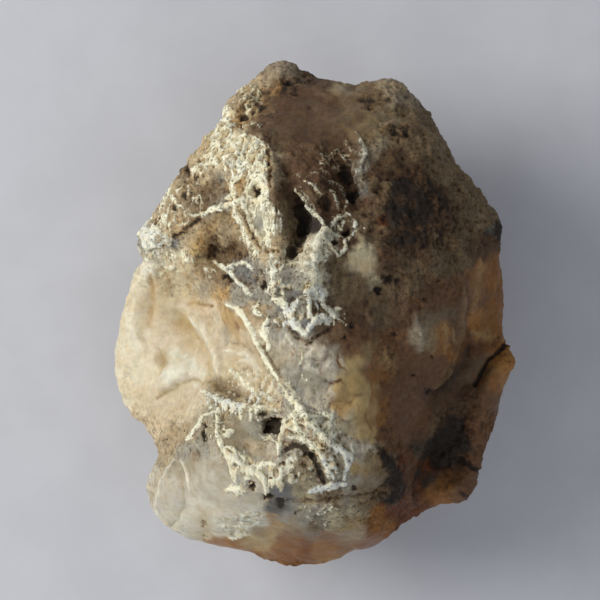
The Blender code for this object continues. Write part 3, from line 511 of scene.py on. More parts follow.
# Where the stone is blotched with dark specks: ovals with an amount.
MOTTLE = {
    "crown": [
        (335, 115, 95, 45, 0.16), (372, 100, 16, 11, 0.6), (398, 132, 14, 10, 0.7),
        (292, 86, 18, 12, 0.75, 20), (262, 105, 28, 28, 0.46),
    ],
    "upper left": [(210, 175, 50, 45, 0.3, -40)],
    "dark zone": [(420, 205, 38, 36, 0.72), (418, 212, 62, 58, 0.52)],
    "face": [
        (234, 252, 16, 14, 0.4), (246, 276, 24, 14, 0.34, 10), (305, 350, 30, 36, 0.16),
        (342, 182, 32, 34, 0.46), (218, 248, 34, 20, 0.3),
    ],
    "right half": [
        (396, 296, 52, 44, 0.24), (410, 380, 60, 50, 0.14), (480, 330, 30, 70, 0.2),
        (447, 440, 26, 34, 0.62, -20),
    ],
    "mouth": [(265, 440, 60, 40, 0.28), (310, 460, 36, 34, 0.4), (300, 310, 50, 26, 0.3, 10)],
    "black crust": [
        (388, 476, 14, 30, 0.45, -18), (383, 458, 8, 9, 0.95, -30), (394, 472, 6, 9, 0.9, -20),
        (396, 492, 6, 9, 0.9, 15),
    ],
    "brow and slope": [(361, 164, 8, 32, 0.4), (200, 275, 50, 16, 0.25, 20)],
}

# Soft strokes of colour with their rise or fall: (colour, half width, share, rise, course).
# Some strokes are painted highlights and some painted shade, as said at each.
STROKES = {
    "cheek": [
        # The cream rim, the chalk stroke inside it and the lower cream stroke are painted highlights; the mead
        # strokes in the hollow, beside the fin, in the crease and in the dimple are painted shade.
        (CREAM, 1.6, 0.5, 0.3, [(142, 262), (132, 300), (122, 340), (120, 380), (130, 405)]),
        (OCHRE, 0.8, 0.8, -0.1, [(150, 274), (153, 300), (149, 326)]),
        (CHALK, 1.2, 0.5, 0.4, [(137, 300), (134, 330), (142, 352)]),
        (MEAD, 1.6, 0.5, -0.45, [(176, 313), (188, 330), (192, 342)]),
        (IVORY, 0.8, 0.8, 0.7, [(191, 317), (205, 335), (215, 352), (219, 374)]),
        (MEAD, 0.8, 0.3, -0.35, [(197, 338), (207, 352), (211, 370)]),
        (MEAD, 0.6, 0.6, -0.4, [(156, 399), (170, 391), (180, 384), (192, 380), (202, 383)]),
        (CHALK, 1.9, 0.7, 0.5, [(160, 386), (172, 374), (186, 362)]),
        (MEAD, 0.5, 0.5, -0.3, [(159, 348), (162, 360), (160, 374)]),
        (CREAM, 1.3, 0.6, 0.4, [(205, 392), (194, 410), (178, 424)]),
    ],
    "temple": [
        (OCHRE, 0.45, 0.6, -0.1, [(186, 304), (198, 303), (214, 307)]),
        (OCHRE, 0.7, 0.65, -0.3, [(217, 298), (228, 312), (239, 327)]),
        (IVORY, 0.8, 0.6, 0.3, [(224, 303), (236, 308), (244, 318)]),
        (ASH, 0.8, 0.6, -0.4, [(224, 328), (226, 343)]), (RUST, 0.4, 0.4, -0.2, [(234, 322), (238, 330)]),
    ],
    "flow lines": [
        (CHALK, 0.38, 0.85, 0.3, [(236, 364), (246, 359), (255, 366), (258, 377), (250, 382)]),
        (TAN, 0.35, 0.8, -0.3, [(240, 371), (248, 368), (252, 375)]),
        (CHALK, 0.4, 0.75, 0.3, [(224, 350), (238, 352), (250, 357), (262, 372)]),
        (TAN, 0.35, 0.75, -0.3, [(230, 342), (243, 346), (254, 354)]),
        (CHALK, 0.25, 0.85, 0.25, [(260, 394), (270, 375)]),
        (CHALK, 0.25, 0.85, 0.25, [(265, 399), (275, 379)]),
        (CHALK, 0.25, 0.85, 0.25, [(271, 402), (280, 384)]),
        # A painted shadow, with a groove, above the mouth's ledge.
        (DRAB, 1.3, 0.7, -0.6, [(214, 380), (228, 388), (246, 396)]),
    ],
    "chin": [
        (CHALK, 0.22, 0.7, 0.25, [(173, 460), (162, 478), (158, 495), (155, 505), (158, 516), (168, 526)]),
        # Painted shade to the left of the pale line.
        (TAN, 0.7, 0.5, -0.2, [(168, 458), (157, 477), (152, 496)]),
        (TAN, 0.3, 0.5, -0.2, [(177, 462), (180, 478), (184, 500), (180, 516), (170, 527)]),
        (CHALK, 0.25, 0.9, 0.35, [(183, 461), (187, 474), (190, 490)]),
    ],
    "right half": [
        (TAN, 0.7, 0.3, 0.6, [(463, 288), (462, 320), (458, 350), (448, 375), (435, 389)]),
        # Painted shade beside the right edge.
        (SOOT_AND_SHADE, 0.9, 0.5, -0.5, [(470, 345), (460, 368), (444, 388), (428, 393)]),
        (BARK, 0.9, 0.45, 0.5, [(440, 405), (433, 425), (414, 455), (407, 475), (410, 506)]),
        # Painted shade beside the low edge.
        (SOOT_AND_SHADE, 1, 0.45, -0.3, [(424, 458), (415, 480), (417, 505)]),
        (ASH, 0.8, 0.5, 0.3, [(415, 314), (419, 328), (422, 342), (419, 352)]),
        (OCHRE, 0.5, 0.6, 0.2, [(444, 322), (446, 336), (444, 352)]),
        (OCHRE, 0.4, 0.5, 0.2, [(452, 328), (454, 342)]),
    ],
    "flank and ear": [
        # These two strokes are painted highlights down the flank; the last umber stroke is painted shade at the
        # ear.
        (OCHRE, 0.9, 0.42, 0.2, [(481, 262), (478, 286), (472, 312)]),
        (HONEY, 0.8, 0.6, 0.2, [(493, 284), (491, 304), (486, 322)]),
        (UMBER, 1.2, 0.3, -0.3, [(488, 290), (487, 320), (480, 345)]),
        (UMBER, 1.2, 0.3, -0.3, [(500, 338), (484, 350), (472, 366)]),
    ],
    "beads": [
        (HONEY, 0.4, 0.8, -0.3, [(371, 372), (373, 390), (370, 404), (366, 414), (370, 430)]),
        (RUST, 0.26, 0.8, -0.2, [(325, 381), (332, 384), (341, 380)]),
        (HONEY, 0.28, 0.8, -0.2, [(339, 352), (337, 360), (341, 368), (346, 370)]),
    ],
    "centre": [
        (UMBER, 0.25, 0.6, -0.2, [(300, 350), (302, 366), (298, 386)]),
        (CHALK, 0.3, 0.6, 0.2, [(283, 330), (292, 342), (298, 350)]),
        # A painted highlight among the glints of the centre.
        (CHALK, 0.8, 0.5, 0.2, [(312, 348), (308, 362), (318, 372)]),
    ],
    "crust": [
        (SOOT_AND_SHADE, 1.2, 0.85, 0.1, [(378, 449), (386, 459), (391, 468), (397, 480), (397, 492), (388, 502)]),
        (ASH, 1, 0.6, 0.1, [(359, 142), (365, 158), (361, 176), (362, 189)]),
        (CHALK, 1.3, 0.9, 0.3, [(319, 284), (322, 300)]),
        (SOOT_AND_SHADE, 0.9, 1, 0.1, [(380, 451), (388, 461), (394, 472), (398, 484), (396, 496), (388, 503)]),
    ],
    "crown": [
        (UMBER, 1.2, 0.5, -0.5, [(296, 92), (320, 96), (345, 108)]),
        # These two tan strokes along the top are painted highlights on the lit ridges.
        (TAN, 0.9, 0.4, 0.4, [(250, 92), (266, 84), (280, 72)]),
        (TAN, 1, 0.35, 0.4, [(376, 88), (392, 84), (404, 92)]),
        (OLIVE, 1, 0.4, 0.4, [(345, 128), (368, 138), (392, 122)]),
    ],
    "eye and nose": [
        (OCHRE, 1.3, 0.5, 0, [(186, 246), (200, 234), (216, 224)]),
        (BARK, 1.2, 0.6, 0, [(288, 196), (292, 220), (290, 244)]),
    ],
}

# Where the crust is bluish white: ovals with a share.
COOL = {
    "upper left": [(150, 238, 13, 14, 0.8), (236, 166, 13, 10, 0.5)],
    "bridge and bank": [
        (240, 274, 20, 16, 0.6), (300, 318, 34, 22, 0.8), (321, 294, 8, 8, 0.8), (311, 248, 12, 34, 0.2, -14),
        (272, 272, 14, 22, 0.4),
    ],
    "brow": [(361, 170, 9, 36, 0.8), (357, 231, 9, 8, 0.9)],
    "mouth": [(236, 401, 42, 8, 0.7, 8), (342, 466, 18, 26, 0.9), (322, 490, 34, 10, 0.9)],
    "chin": [(262, 516, 34, 14, 0.3), (284, 464, 12, 14, 0.4)],
}

# --- Fields measured on the plan ---


def on_plan(across, down):
    """The place on the plan of a pixel of the photograph: mm right of its middle, and mm up from it."""
    return (across - MIDDLE_PIXEL[0]) / PIXELS_PER_MM, (MIDDLE_PIXEL[1] - down) / PIXELS_PER_MM


def smoothstep(low, high, value):
    """0 below low, 1 above high and a smooth turn between them."""
    share = np.clip((value - low) / (high - low), 0.0, 1.0)
    return share * share * (3.0 - 2.0 * share)


def grain(points, size, octaves=1, shift=0.0):
    """Smooth noise of about -1 to 1 at each point, with lumps of this size in mm."""
    places = points / size + shift
    if octaves == 1:
        return np.array([noise.noise(p) for p in places.tolist()])
    return np.array([noise.fractal(p, OCTAVE_WEAKER, OCTAVE_FINER, octaves) for p in places.tolist()])


def seen(points):
    """Where points of the stone, in mm, lie on the plan as the camera shows them."""
    share = (CAMERA_AT[2] - PLAN_LEVEL) / (CAMERA_AT[2] - points[:, 2])
    right = PLAN_MIDDLE[0] + (points[:, 0] - CAMERA_AT[0]) * share
    up = PLAN_MIDDLE[1] + (points[:, 1] - CAMERA_AT[1]) * share
    return np.column_stack([right, up])


def wandering(plan, points, amount, size, shift):
    """The plan with its places shifted by noise, so that what is measured on it comes out uneven."""
    right = grain(points, size, octaves=2, shift=shift)
    up = grain(points, size, octaves=2, shift=shift + 31.7)
    return plan + amount * np.column_stack([right, up])


def oval_reach(plan, across, down, half_width, half_length, turn=0):
    """Distance from the middle of an oval of the photograph: 0 there, and 1 on its edge."""
    right, up = on_plan(across, down)
    cosine, sine = np.cos(np.radians(turn)), np.sin(np.radians(turn))
    across, along = plan[:, 0] - right, plan[:, 1] - up
    return np.hypot((across * cosine + along * sine) / (half_width / PIXELS_PER_MM),
                    (along * cosine - across * sine) / (half_length / PIXELS_PER_MM))


def ovals(plan, table, numbers=1):
    """Each oval's reach, then its own numbers. Its turn in degrees, if it has one, stands last."""
    for group in table.values():
        for oval in group:
            place, own, turn = oval[:4], oval[4:4 + numbers], oval[4 + numbers:]
            yield (oval_reach(plan, *place, *turn), *own)


def smooth_course(course, steps):
    """A course with its corners rounded: points of a smooth curve through its own points."""
    ends = [course[0]] + course + [course[-1]]
    rounded = []
    for run in range(1, len(ends) - 2):
        before, start, end, after = (np.array(ends[run + step]) for step in (-1, 0, 1, 2))
        for share in np.linspace(0.0, 1.0, steps, endpoint=False):
            bend = (2.0 * before - 5.0 * start + 4.0 * end - after) * share ** 2
            turn = (3.0 * start - before - 3.0 * end + after) * share ** 3
            rounded.append(0.5 * (2.0 * start + (end - before) * share + bend + turn))
    return rounded + [np.array(course[-1])]


def course_reach(plan, course):
    """Distance in mm from a course of straight runs, and the share of the way along it."""
    nearest = np.full(len(plan), np.inf)
    share_along = np.zeros(len(plan))
    runs = len(course) - 1
    for run in range(runs):
        start = course[run]
        way = course[run + 1] - start
        share = np.clip((plan - start) @ way / (way @ way), 0.0, 1.0)
        distance = np.linalg.norm(plan - start - share[:, None] * way, axis=1)
        closer = distance < nearest
        nearest[closer] = distance[closer]
        share_along[closer] = (run + share[closer]) / runs
    return nearest, share_along


def courses(plan, table, steps=COURSE_STEPS):
    """Each course's distance and share along it, followed by the numbers before it in the table."""
    for group in table.values():
        for *numbers, pixels in group:
            course = smooth_course([on_plan(*pixel) for pixel in pixels], steps)
            yield (*course_reach(plan, course), *numbers)


# --- The mesh ---


def applied(piece):
    """Gives a piece the mesh that its modifiers make of it."""
    bpy.context.view_layer.update()
    depsgraph = bpy.context.evaluated_depsgraph_get()
    mesh = bpy.data.meshes.new_from_object(piece.evaluated_get(depsgraph))
    piece.modifiers.clear()
    piece.data = mesh
    mesh.name = piece.name


def fine_copy(node):
    """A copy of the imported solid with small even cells."""
    piece = bpy.data.objects.new("chalcedony_stone", node.data.copy())
    bpy.context.scene.collection.objects.link(piece)
    even = piece.modifiers.new("even_cells", "REMESH")
    even.mode = "VOXEL"
    even.voxel_size = CELL * MM
    applied(piece)
    return piece


def thinned(piece):
    """Thins the mesh to its number of triangles, and keeps the most of them where the relief is sharp."""
    thin = piece.modifiers.new("thin_out", "DECIMATE")
    piece.data.calc_loop_triangles()
    thin.ratio = min(1.0, TRIANGLES / len(piece.data.loop_triangles))
    applied(piece)


def read_out(layer, field, width, kind=float):
    """A field of all of a mesh's points or edges, as rows of this width."""
    flat = np.empty(len(layer) * width, dtype=kind)
    layer.foreach_get(field, flat)
    return flat.reshape(-1, width)


def put_points(mesh, points):
    """Moves a mesh's points to places in mm."""
    mesh.vertices.foreach_set("co", (points * MM).ravel())
    mesh.update()


def averaged(values, edges, rounds):
    """Values moved halfway to the mean of their neighbours', some rounds over."""
    count = len(values)
    first, second = edges[:, 0], edges[:, 1]
    neighbours = np.bincount(first, minlength=count) + np.bincount(second, minlength=count)
    table = values.reshape(count, -1).astype(float)
    for _ in range(rounds):
        total = np.empty_like(table)
        for column in range(table.shape[1]):
            total[:, column] = (np.bincount(first, table[second, column], count)
                                + np.bincount(second, table[first, column], count))
        table += 0.5 * (total / neighbours[:, None] - table)
    return table.reshape(values.shape)


# --- Relief and cover ---


class Looks:
    """What each point of the stone shows: its relief in mm, its colour and how it is finished."""

    def __init__(self, points, normals):
        self.points = points
        self.normals = normals
        front = points[:, 2] + FRONT_WAVERS * grain(points, 6.0, octaves=2, shift=3.1)
        self.front = smoothstep(FRONT_STARTS, FRONT_FULL, front)
        near = seen(points)
        self.plan = wandering(near, points, amount=0.30, size=2.2, shift=5.3)
        self.pit_plan = wandering(near, points, amount=0.55, size=0.9, shift=6.1)
        broad = wandering(near, points, amount=1.5, size=5.0, shift=9.9)
        self.loose_plan = wandering(broad, points, amount=0.7, size=1.4, shift=2.2)
        self.tint = np.zeros((len(points), 3))
        for field in ("relief", "crust", "dirt_and_shade", "streak", "cool", "dust", "vein"):
            setattr(self, field, np.zeros(len(points)))
        self.clear = np.full(len(points), CLEAR_ELSEWHERE)

    def paint(self, colour, share):
        """Brings the colour towards another by a share at each point."""
        share = share[:, None]
        self.tint = self.tint * (1.0 - share) + np.array(colour) * share

    def darken(self, dirt_and_shade):
        """Lays dirt and painted shade where there is less of it."""
        self.dirt_and_shade = np.maximum(self.dirt_and_shade, dirt_and_shade)


def paint_zones(looks):
    """Gives each point the mineral colour of the zones around it, with ragged borders."""
    total = np.zeros((len(looks.points), 3))
    weights = np.full(len(looks.points), ALMOST_NOTHING)
    ragged = [np.exp(ZONE_RAGGED * grain(looks.points, 2.0, octaves=5, shift=7.7 * turn))
              for turn in range(BORDERS)]
    spots = [spot for group in ZONES.values() for spot in group]
    for number, (colour, across, down, radius) in enumerate(spots):
        right, up = on_plan(across, down)
        reach = radius / PIXELS_PER_MM
        distance = np.hypot(looks.loose_plan[:, 0] - right, looks.loose_plan[:, 1] - up)
        weight = np.exp(-ZONE_SHARPNESS * (distance / reach) ** 2) / reach
        weight = np.maximum(weight, FAR_WEIGHT * np.exp(-distance / FAR_REACH)) * ragged[number % BORDERS]
        total += weight[:, None] * np.array(colour)
        weights += weight
    looks.tint = total / weights[:, None]


def set_finish(looks):
    """Says where the stone is clear and waxy, where its crust is bluish and where fibres run."""
    for reach, share in ovals(looks.loose_plan, CLEAR):
        cover = smoothstep(1.2, 0.6, reach) * looks.front
        looks.clear = looks.clear * (1.0 - cover) + share * cover
    for reach, share in ovals(looks.loose_plan, COOL):
        looks.cool = np.maximum(looks.cool, share * smoothstep(1.3, 0.6, reach) * looks.front)
    for reach, share in ovals(looks.loose_plan, STREAKS):
        looks.streak = np.maximum(looks.streak, share * smoothstep(1.2, 0.6, reach) * looks.front)


def paint_back(looks):
    """Colours the sides and back, where the zones don't reach, in drifting bands of the same minerals."""
    points = looks.points
    slow = 0.5 + 0.5 * grain(points, 26.0, octaves=3, shift=12.0)
    drift = slow + 0.25 * grain(points, 6.0, octaves=3, shift=40.0)
    place = np.clip(drift, 0.0, 0.999) * (len(BACK_COLOURS) - 1)
    index = place.astype(int)
    share = (place - index)[:, None]
    colours = np.array(BACK_COLOURS)
    back = colours[index] * (1.0 - share) + colours[index + 1] * share
    looks.tint = looks.tint * looks.front[:, None] + back * (1.0 - looks.front[:, None])
    rough = smoothstep(0.02, 0.5, grain(points, 14.0, octaves=3, shift=77.0)) * (1.0 - looks.front)
    looks.crust = np.maximum(looks.crust, BACK_CRUST * rough)
    darkening = smoothstep(0.1, 0.6, grain(points, 9.0, octaves=3, shift=21.0))
    looks.darken(BACK_DIRT * darkening * (1.0 - looks.front))


def paint_strokes(looks):
    """Paints the soft strokes: folds, creases and stains of the clear stone, and painted highlights and shade.
    """
    uneven = 1.0 + 0.5 * grain(looks.points, 1.8, octaves=3, shift=27.0)
    for distance, along, colour, half_width, share, rise in courses(looks.plan, STROKES):
        taper = 0.5 + 0.5 * smoothstep(0.0, 0.3, along) * smoothstep(1.0, 0.7, along)
        across = distance / (half_width * taper)
        spread = np.exp(-across ** 2) * looks.front
        looks.relief += rise * spread
        looks.paint(colour, np.clip(share * spread * uneven, 0.0, 1.0))


def lay_mottle(looks):
    """Lays loose dirt where the stone is blotched with dark specks."""
    coarse = grain(looks.points, 3.0, octaves=4, shift=35.0)
    fine = grain(looks.points, 1.0, octaves=3, shift=37.0)
    patchy = 0.85 + coarse + 0.7 * fine
    for reach, amount in ovals(looks.loose_plan, MOTTLE):
        looks.darken(amount * patchy * smoothstep(1.4, 0.4, reach) * looks.front)


def lay_crust(looks):
    """Covers patches with crust: a lacework of ridges where the cover is thin, solid where it is thick."""
    thickness = looks.crust.copy()
    for reach, cover in ovals(looks.loose_plan, CRUST):
        thickness = np.maximum(thickness, cover * smoothstep(1.3, 0.6, reach) * looks.front)
    for (reach,) in ovals(looks.pit_plan, BARE, 0):
        thickness *= 1.0 - BARE_SHARE * smoothstep(1.2, 0.75, reach) * looks.front
    along = looks.points * np.array(LACE_STRETCH)
    coarse = 1.0 - np.abs(grain(along, LACE_SIZE, octaves=2, shift=51.0)) * 2.6
    fine = 1.0 - np.abs(grain(along, LACE_SIZE * 0.42, octaves=2, shift=63.0)) * 2.4
    lace = 0.68 * coarse + 0.32 * fine
    patchy = smoothstep(0.02, 0.12, thickness)
    looks.crust = np.clip(patchy * (thickness + (lace - 0.5)), 0.0, 1.0)
    standing = smoothstep(0.25, 0.85, looks.crust)
    bare = patchy * smoothstep(0.15, 0.6, thickness) * (1.0 - standing)
    crevice = 0.25 - np.abs(grain(looks.points, 2.8, octaves=3, shift=71.0))
    looks.relief += CRUST_HEIGHT * standing - 0.12 * bare - 0.5 * thickness * crevice
    looks.dust = smoothstep(0.28, 0.95, thickness)
    looks.darken(0.26 * bare + 0.42 * thickness * smoothstep(0.17, 0.25, crevice))


def grow_beads(looks):
    """Grows the rounded beads, with an iron-stained line where two of them meet and a painted highlight on each
    dome.
    """
    fading = smoothstep(-0.35, 0.25, grain(looks.points, 3.0, octaves=2, shift=93.0))
    for across, down, radius in BEADS:
        reach = oval_reach(looks.plan, across, down, radius, radius)
        dome = np.sqrt(np.clip(1.0 - reach ** 2, 0.0, 1.0))
        looks.relief += BEAD_HEIGHT * (0.4 + 0.6 * fading) * dome * looks.front
        edge = smoothstep(0.72, 1.0, reach) * smoothstep(1.22, 1.0, reach) * looks.front
        looks.paint(RUST, 0.4 * edge * fading)
        # Each bead is paler towards its top: a painted highlight on the dome.
        looks.tint *= 1.0 + 0.15 * (dome * looks.front)[:, None]


def raise_veins(looks):
    """Adds the veins of crust: crisp ridges with ragged sides, thinning towards their ends."""
    knobs = 1.0 + 0.32 * grain(looks.points, 1.1, octaves=4, shift=15.0)
    lumps = 0.9 + 0.32 * grain(looks.points, 0.8, octaves=2, shift=19.0)
    for distance, along, half_width, height, cover in courses(looks.plan, VEINS):
        taper = 0.6 + 0.4 * smoothstep(0.0, 0.25, along) * smoothstep(1.0, 0.75, along)
        across = distance / (half_width * taper * np.maximum(knobs, 0.4))
        ridge = np.clip(1.15 - across, 0.0, 0.8) * looks.front
        body = np.minimum(cover * np.clip(1.9 - across, 0.0, 1.0), 1.0) * looks.front
        looks.relief = looks.relief * (1.0 - 0.4 * body) + height * ridge * lumps
        looks.crust = np.maximum(looks.crust, body)
        looks.vein = np.maximum(looks.vein, smoothstep(0.4, 0.9, body))
        looks.dirt_and_shade *= 1.0 - 0.8 * smoothstep(0.5, 0.8, body)


def sink_pits(looks):
    """Sinks the pits and lays their darkness: dark stains, and painted shade in the fissure."""
    for reach, depth, darkness in ovals(looks.pit_plan, PITS, 2):
        looks.relief -= depth * np.clip(1.0 - reach ** 2, 0.0, 1.0) * looks.front
        looks.darken(darkness * smoothstep(1.35, 0.55, reach) * looks.front)
        looks.crust *= 1.0 - smoothstep(1.2, 0.7, reach) * looks.front * min(1.0, darkness + 0.1)


def cut_cracks(looks):
    """Cuts the dark cracks and lines; in the fissure and under the eyebrow their darkness is painted shade."""
    ragged = grain(looks.points, 0.9, octaves=3, shift=57.0)
    for distance, _, half_width, depth, darkness in courses(looks.plan, CRACKS, steps=1):
        distance = np.maximum(0.0, distance + 0.55 * half_width * ragged)
        groove = np.clip(1.0 - (distance / (half_width + 0.25)) ** 2, 0.0, 1.0) * looks.front
        looks.relief -= depth * groove
        line = smoothstep(half_width + 0.45, half_width * 0.5, distance) * looks.front
        looks.darken(darkness * line)
        looks.crust *= 1.0 - line


def roughen(looks):
    """Gives the whole surface its small worn grains."""
    dry = (1.0 - 0.95 * looks.clear) * (1.0 + 0.5 * np.clip(looks.dirt_and_shade, 0.0, 1.0)) * (1.0 - 0.3 * looks.vein)
    lumps = grain(looks.points, 3.0, octaves=4, shift=8.0)
    nicks = np.abs(grain(looks.points, 1.5, octaves=3, shift=4.0))
    looks.relief += dry * (0.85 * lumps - 0.75 * nicks + 0.15)
    looks.relief += 0.18 * grain(looks.points, 2.2, octaves=3, shift=88.0)


def dress(piece):
    """Works out the relief and the looks of every point and puts them on the mesh."""
    mesh = piece.data
    edges = read_out(mesh.edges, "vertices", 2, np.int64)
    points = averaged(read_out(mesh.vertices, "co", 3) / MM, edges, SOFTENING)
    put_points(mesh, points)
    looks = Looks(points, averaged(read_out(mesh.vertex_normals, "vector", 3), edges, 3))
    for step in (paint_zones, set_finish, paint_back, paint_strokes, lay_mottle, lay_crust, grow_beads,
                 raise_veins, sink_pits, cut_cracks, roughen):
        step(looks)
    rise = np.clip(looks.relief, -DEEPEST, HIGHEST)
    rise *= smoothstep(0.0, GROUND_CALM, points[:, 2])
    put_points(mesh, points + looks.normals * rise[:, None])
    # How far each point lies down in a hollow; the material lays painted shade there by it.
    looks.hollow = np.clip((averaged(rise, edges, 6) - rise) / HOLLOW_DEPTH, -1.0, 1.0)
    put_attributes(mesh, looks)


def put_attributes(mesh, looks):
    """Stores the looks on the mesh for the material to read."""
    colours = np.column_stack([looks.tint, np.ones(len(looks.tint))])
    tint = mesh.attributes.new("tint", "FLOAT_COLOR", "POINT")
    tint.data.foreach_set("color", colours.ravel().astype(np.float32))
    for name in ("crust", "dirt_and_shade", "clear", "streak", "cool", "dust", "vein", "hollow"):
        layer = mesh.attributes.new(name, "FLOAT", "POINT")
        layer.data.foreach_set("value", getattr(looks, name).astype(np.float32))


# --- The material ---


class Graph:
    """Short ways to make and join the nodes of a material."""

    def __init__(self, name):
        self.material = bpy.data.materials.new(name)
        self.material.use_nodes = True
        self.tree = self.material.node_tree
        self.shader = self.tree.nodes["Principled BSDF"]
        self.place = self.node("ShaderNodeTexCoord").outputs["Object"]

    def node(self, kind, **settings):
        made = self.tree.nodes.new(kind)
        for key, value in settings.items():
            setattr(made, key, value)
        return made

    def feed(self, node, **values):
        """Links or sets a node's inputs; _ stands for a space in an input's name."""
        for name, value in values.items():
            self.join(node.inputs[name.replace("_", " ")], value)
        return node

    def join(self, socket, value):
        if isinstance(value, bpy.types.NodeSocket):
            self.tree.links.new(value, socket)
        else:
            socket.default_value = value

    def layer(self, name, output="Fac"):
        return self.node("ShaderNodeAttribute", attribute_name=name).outputs[output]

    def grain(self, size, detail=3.0, roughness=0.55, shift=0.0, stretch=(1.0, 1.0, 1.0), warp=0.0):
        """Noise with lumps of this size in mm; stretch is how many times longer they are each way."""
        mapping = self.feed(self.node("ShaderNodeMapping", vector_type="POINT"), Vector=self.place,
                            Scale=[1.0 / (size * MM * way) for way in stretch],
                            Location=(shift, shift * 0.7, shift * 1.3))
        made = self.feed(self.node("ShaderNodeTexNoise"), Vector=mapping.outputs["Vector"], Scale=1.0,
                         Detail=detail, Roughness=roughness, Distortion=warp)
        return made.outputs["Fac"]

    def math(self, kind, first, second):
        made = self.node("ShaderNodeMath", operation=kind)
        self.join(made.inputs[0], first)
        self.join(made.inputs[1], second)
        return made.outputs[0]

    def times(self, first, second):
        return self.math("MULTIPLY", first, second)

    def plus(self, first, *others):
        for other in others:
            first = self.math("ADD", first, other)
        return first

    def rest(self, share):
        """What is left of 1 beside a share."""
        return self.math("SUBTRACT", 1.0, share)

    def swing(self, value, amount):
        """Noise as a rise and fall to both sides of 0."""
        return self.times(self.math("SUBTRACT", value, 0.5), amount)

    def ramp(self, value, low, high, start=0.0, end=1.0):
        """A value that runs from start to end, smoothly, as the input runs from low to high."""
        made = self.node("ShaderNodeMapRange", interpolation_type="SMOOTHSTEP")
        self.feed(made, Value=value, From_Min=low, From_Max=high, To_Min=start, To_Max=end)
        return made.outputs["Result"]

    def mix(self, share, first, second, blend="MIX"):
        made = self.node("ShaderNodeMix", data_type="RGBA", blend_type=blend)
        for number, value in zip(MIX_INPUTS, (share, first, second)):
            self.join(made.inputs[number], (*value, 1.0) if isinstance(value, tuple) else value)
        return made.outputs[MIX_COLOUR]

    def toned(self, share, colour, factors):
        """A colour, multiplied by the factors to this share."""
        return self.mix(share, colour, self.mix(1.0, colour, factors, "MULTIPLY"))


def chalcedony():
    """Waxy chalcedony under a broken crust, with iron stains, dark dirt, and painted shade in the hollows."""
    graph = Graph("chalcedony")
    clear, streak, hollow = (graph.layer(name) for name in ("clear", "streak", "hollow"))
    fine = graph.grain(0.45, detail=4.0, roughness=0.6)
    small = graph.grain(1.1, detail=4.0, roughness=0.6, shift=3.0)
    broad = graph.grain(4.0, detail=4.0, roughness=0.6, shift=7.0, warp=0.4)
    fibres = graph.grain(0.42, roughness=0.5, shift=5.0, stretch=(1.0, 9.0, 4.0))
    rusty = graph.grain(2.6, roughness=0.5, shift=11.0)
    patchy = graph.grain(1.5, roughness=0.6, shift=17.0)
    specked = graph.grain(0.6, detail=2.0, roughness=0.5, shift=23.0)

    break_up = graph.plus(graph.swing(small, 0.8), graph.swing(fine, 1.0))
    split = graph.swing(fibres, graph.times(streak, 1.8))
    crust = graph.ramp(graph.plus(graph.layer("crust"), break_up, split), 0.33, 0.68)

    stone = graph.toned(graph.ramp(broad, 0.35, 0.7, end=0.55), graph.layer("tint", "Color"), DEEPER)
    motley = graph.rest(graph.times(clear, 0.85))
    stone = graph.toned(graph.times(graph.ramp(small, 0.48, 0.66), motley), stone, PALER)
    stone = graph.toned(graph.times(graph.ramp(small, 0.50, 0.34), motley), stone, DARKER)
    dusty = graph.times(graph.layer("dust"), graph.ramp(fine, 0.42, 0.58, start=0.15, end=0.75))
    stone = graph.mix(dusty, stone, CRUST_CREAM)

    chalk = graph.mix(graph.ramp(small, 0.38, 0.62), CRUST_CREAM, CRUST_CHALK)
    stains = graph.rest(graph.times(graph.layer("vein"), 0.6))
    iron = graph.ramp(rusty, 0.50, 0.62, end=0.6)
    chalk = graph.mix(graph.times(iron, stains), chalk, CRUST_OCHRE)
    worn = graph.ramp(patchy, 0.53, 0.63, end=0.7)
    chalk = graph.mix(graph.times(worn, stains), chalk, CRUST_ASH)
    bluish = graph.times(graph.layer("cool"), graph.ramp(small, 0.62, 0.40))
    colour = graph.mix(crust, stone, graph.mix(bluish, chalk, CRUST_BLUE))

    # The darkening: dirt and painted shade, loose specks of them, and painted shade in hollows.
    dirt_and_shade = graph.layer("dirt_and_shade")
    speckle = graph.plus(graph.swing(fine, 0.8), graph.swing(small, 0.9))
    loose = graph.times(speckle, graph.ramp(dirt_and_shade, 0.0, 0.25, start=0.25))
    darkening = graph.plus(dirt_and_shade, loose, graph.times(hollow, 0.22))
    colour = graph.toned(graph.ramp(darkening, 0.18, 0.50, end=0.8), colour, EARTH_AND_SHADE)
    specks = graph.ramp(specked, 0.60, 0.66, end=0.85)
    specks = graph.times(specks, graph.ramp(clear, 0.9, 0.2))
    dark = graph.math("MAXIMUM", graph.ramp(darkening, 0.42, 0.78), specks)
    colour = graph.mix(dark, colour, graph.mix(0.88, colour, SOOT_AND_SHADE))
    # Painted shade in the hollows, multiplied in by SHADED.
    colour = graph.toned(graph.ramp(hollow, 0.05, 0.8, end=0.5), colour, SHADED)

    waxy = graph.times(graph.times(clear, graph.rest(crust)), graph.rest(dark))
    rough = graph.plus(graph.times(waxy, -0.5), 0.82, graph.swing(fine, 0.35))
    ridges = graph.times(graph.times(fibres, streak), 0.8)
    heights = graph.plus(graph.times(fine, 0.6), graph.times(small, 0.8), graph.times(crust, 0.35), ridges)
    bump = graph.feed(graph.node("ShaderNodeBump"), Distance=BUMP_HEIGHT * MM, Height=heights,
                      Strength=graph.plus(graph.times(waxy, -0.55), 0.85))
    graph.feed(graph.shader, Base_Color=colour, Roughness=rough, Normal=bump.outputs["Normal"], IOR=1.53,
               Specular_IOR_Level=0.28, Subsurface_Weight=graph.times(waxy, 0.6),
               Subsurface_Radius=GLOW_COLOURS, Subsurface_Scale=GLOW_DEPTH * MM)
    return graph.material


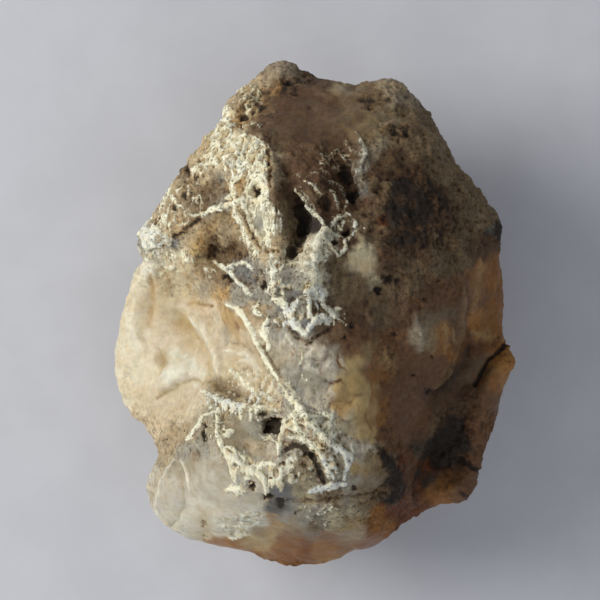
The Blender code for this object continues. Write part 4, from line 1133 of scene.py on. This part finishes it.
def floor_paint():
    """Matt paint with a slight mottle."""
    graph = Graph("pale_floor")
    mottle = graph.ramp(graph.grain(18.0), 0.3, 0.7)
    darker = tuple(0.94 * part for part in FLOOR_COLOUR)
    graph.feed(graph.shader, Base_Color=graph.mix(mottle, FLOOR_COLOUR, darker), Roughness=0.9)
    return graph.material


# --- The stage ---


def put(name, data, place=(0.0, 0.0, 0.0)):
    """A new object in the scene."""
    thing = bpy.data.objects.new(name, data)
    thing.location = place
    bpy.context.scene.collection.objects.link(thing)
    return thing


def make_floor():
    """A plain pale floor under the stone."""
    mesh = bpy.data.meshes.new("floor")
    half = FLOOR_HALF
    mesh.from_pydata([(-half, -half, 0.0), (half, -half, 0.0), (half, half, 0.0), (-half, half, 0.0)],
                     [], [(0, 1, 2, 3)])
    mesh.materials.append(floor_paint())
    floor = put("floor", mesh)


def make_light(name, place, side, power, colour):
    """A square soft light that shines on the stone."""
    data = bpy.data.lights.new(name, "AREA")
    data.shape = "SQUARE"
    data.size = side
    data.energy = power
    data.color = colour
    light = put(name, data, place)
    light.rotation_euler = (Vector(AIM) - Vector(place)).to_track_quat("-Z", "Y").to_euler()


def make_world():
    """Even light from all round."""
    world = bpy.data.worlds.new("studio")
    world.use_nodes = True
    background = world.node_tree.nodes["Background"]
    background.inputs["Color"].default_value = (*WORLD_COLOUR, 1.0)
    background.inputs["Strength"].default_value = WORLD_STRENGTH
    bpy.context.scene.world = world


def make_camera():
    """The camera over the stone, looking straight down."""
    data = bpy.data.cameras.new("camera")
    data.lens = LENS
    data.clip_start = 0.01
    data.clip_end = 20.0
    bpy.context.scene.camera = put("camera", data, Vector(CAMERA_AT) * MM)


def make_stone():
    """The dressed stone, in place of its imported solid."""
    stone = fine_copy(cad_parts["stone"])
    dress(stone)
    thinned(stone)
    stone.data.shade_smooth()
    stone.data.materials.clear()
    stone.data.materials.append(chalcedony())
    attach(stone, "root")
    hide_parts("stone")


make_stone()
make_floor()
make_world()
for light_name, light in LIGHTS.items():
    make_light(light_name, *light)
make_camera()
bpy.context.scene.view_settings.view_transform = "Standard"
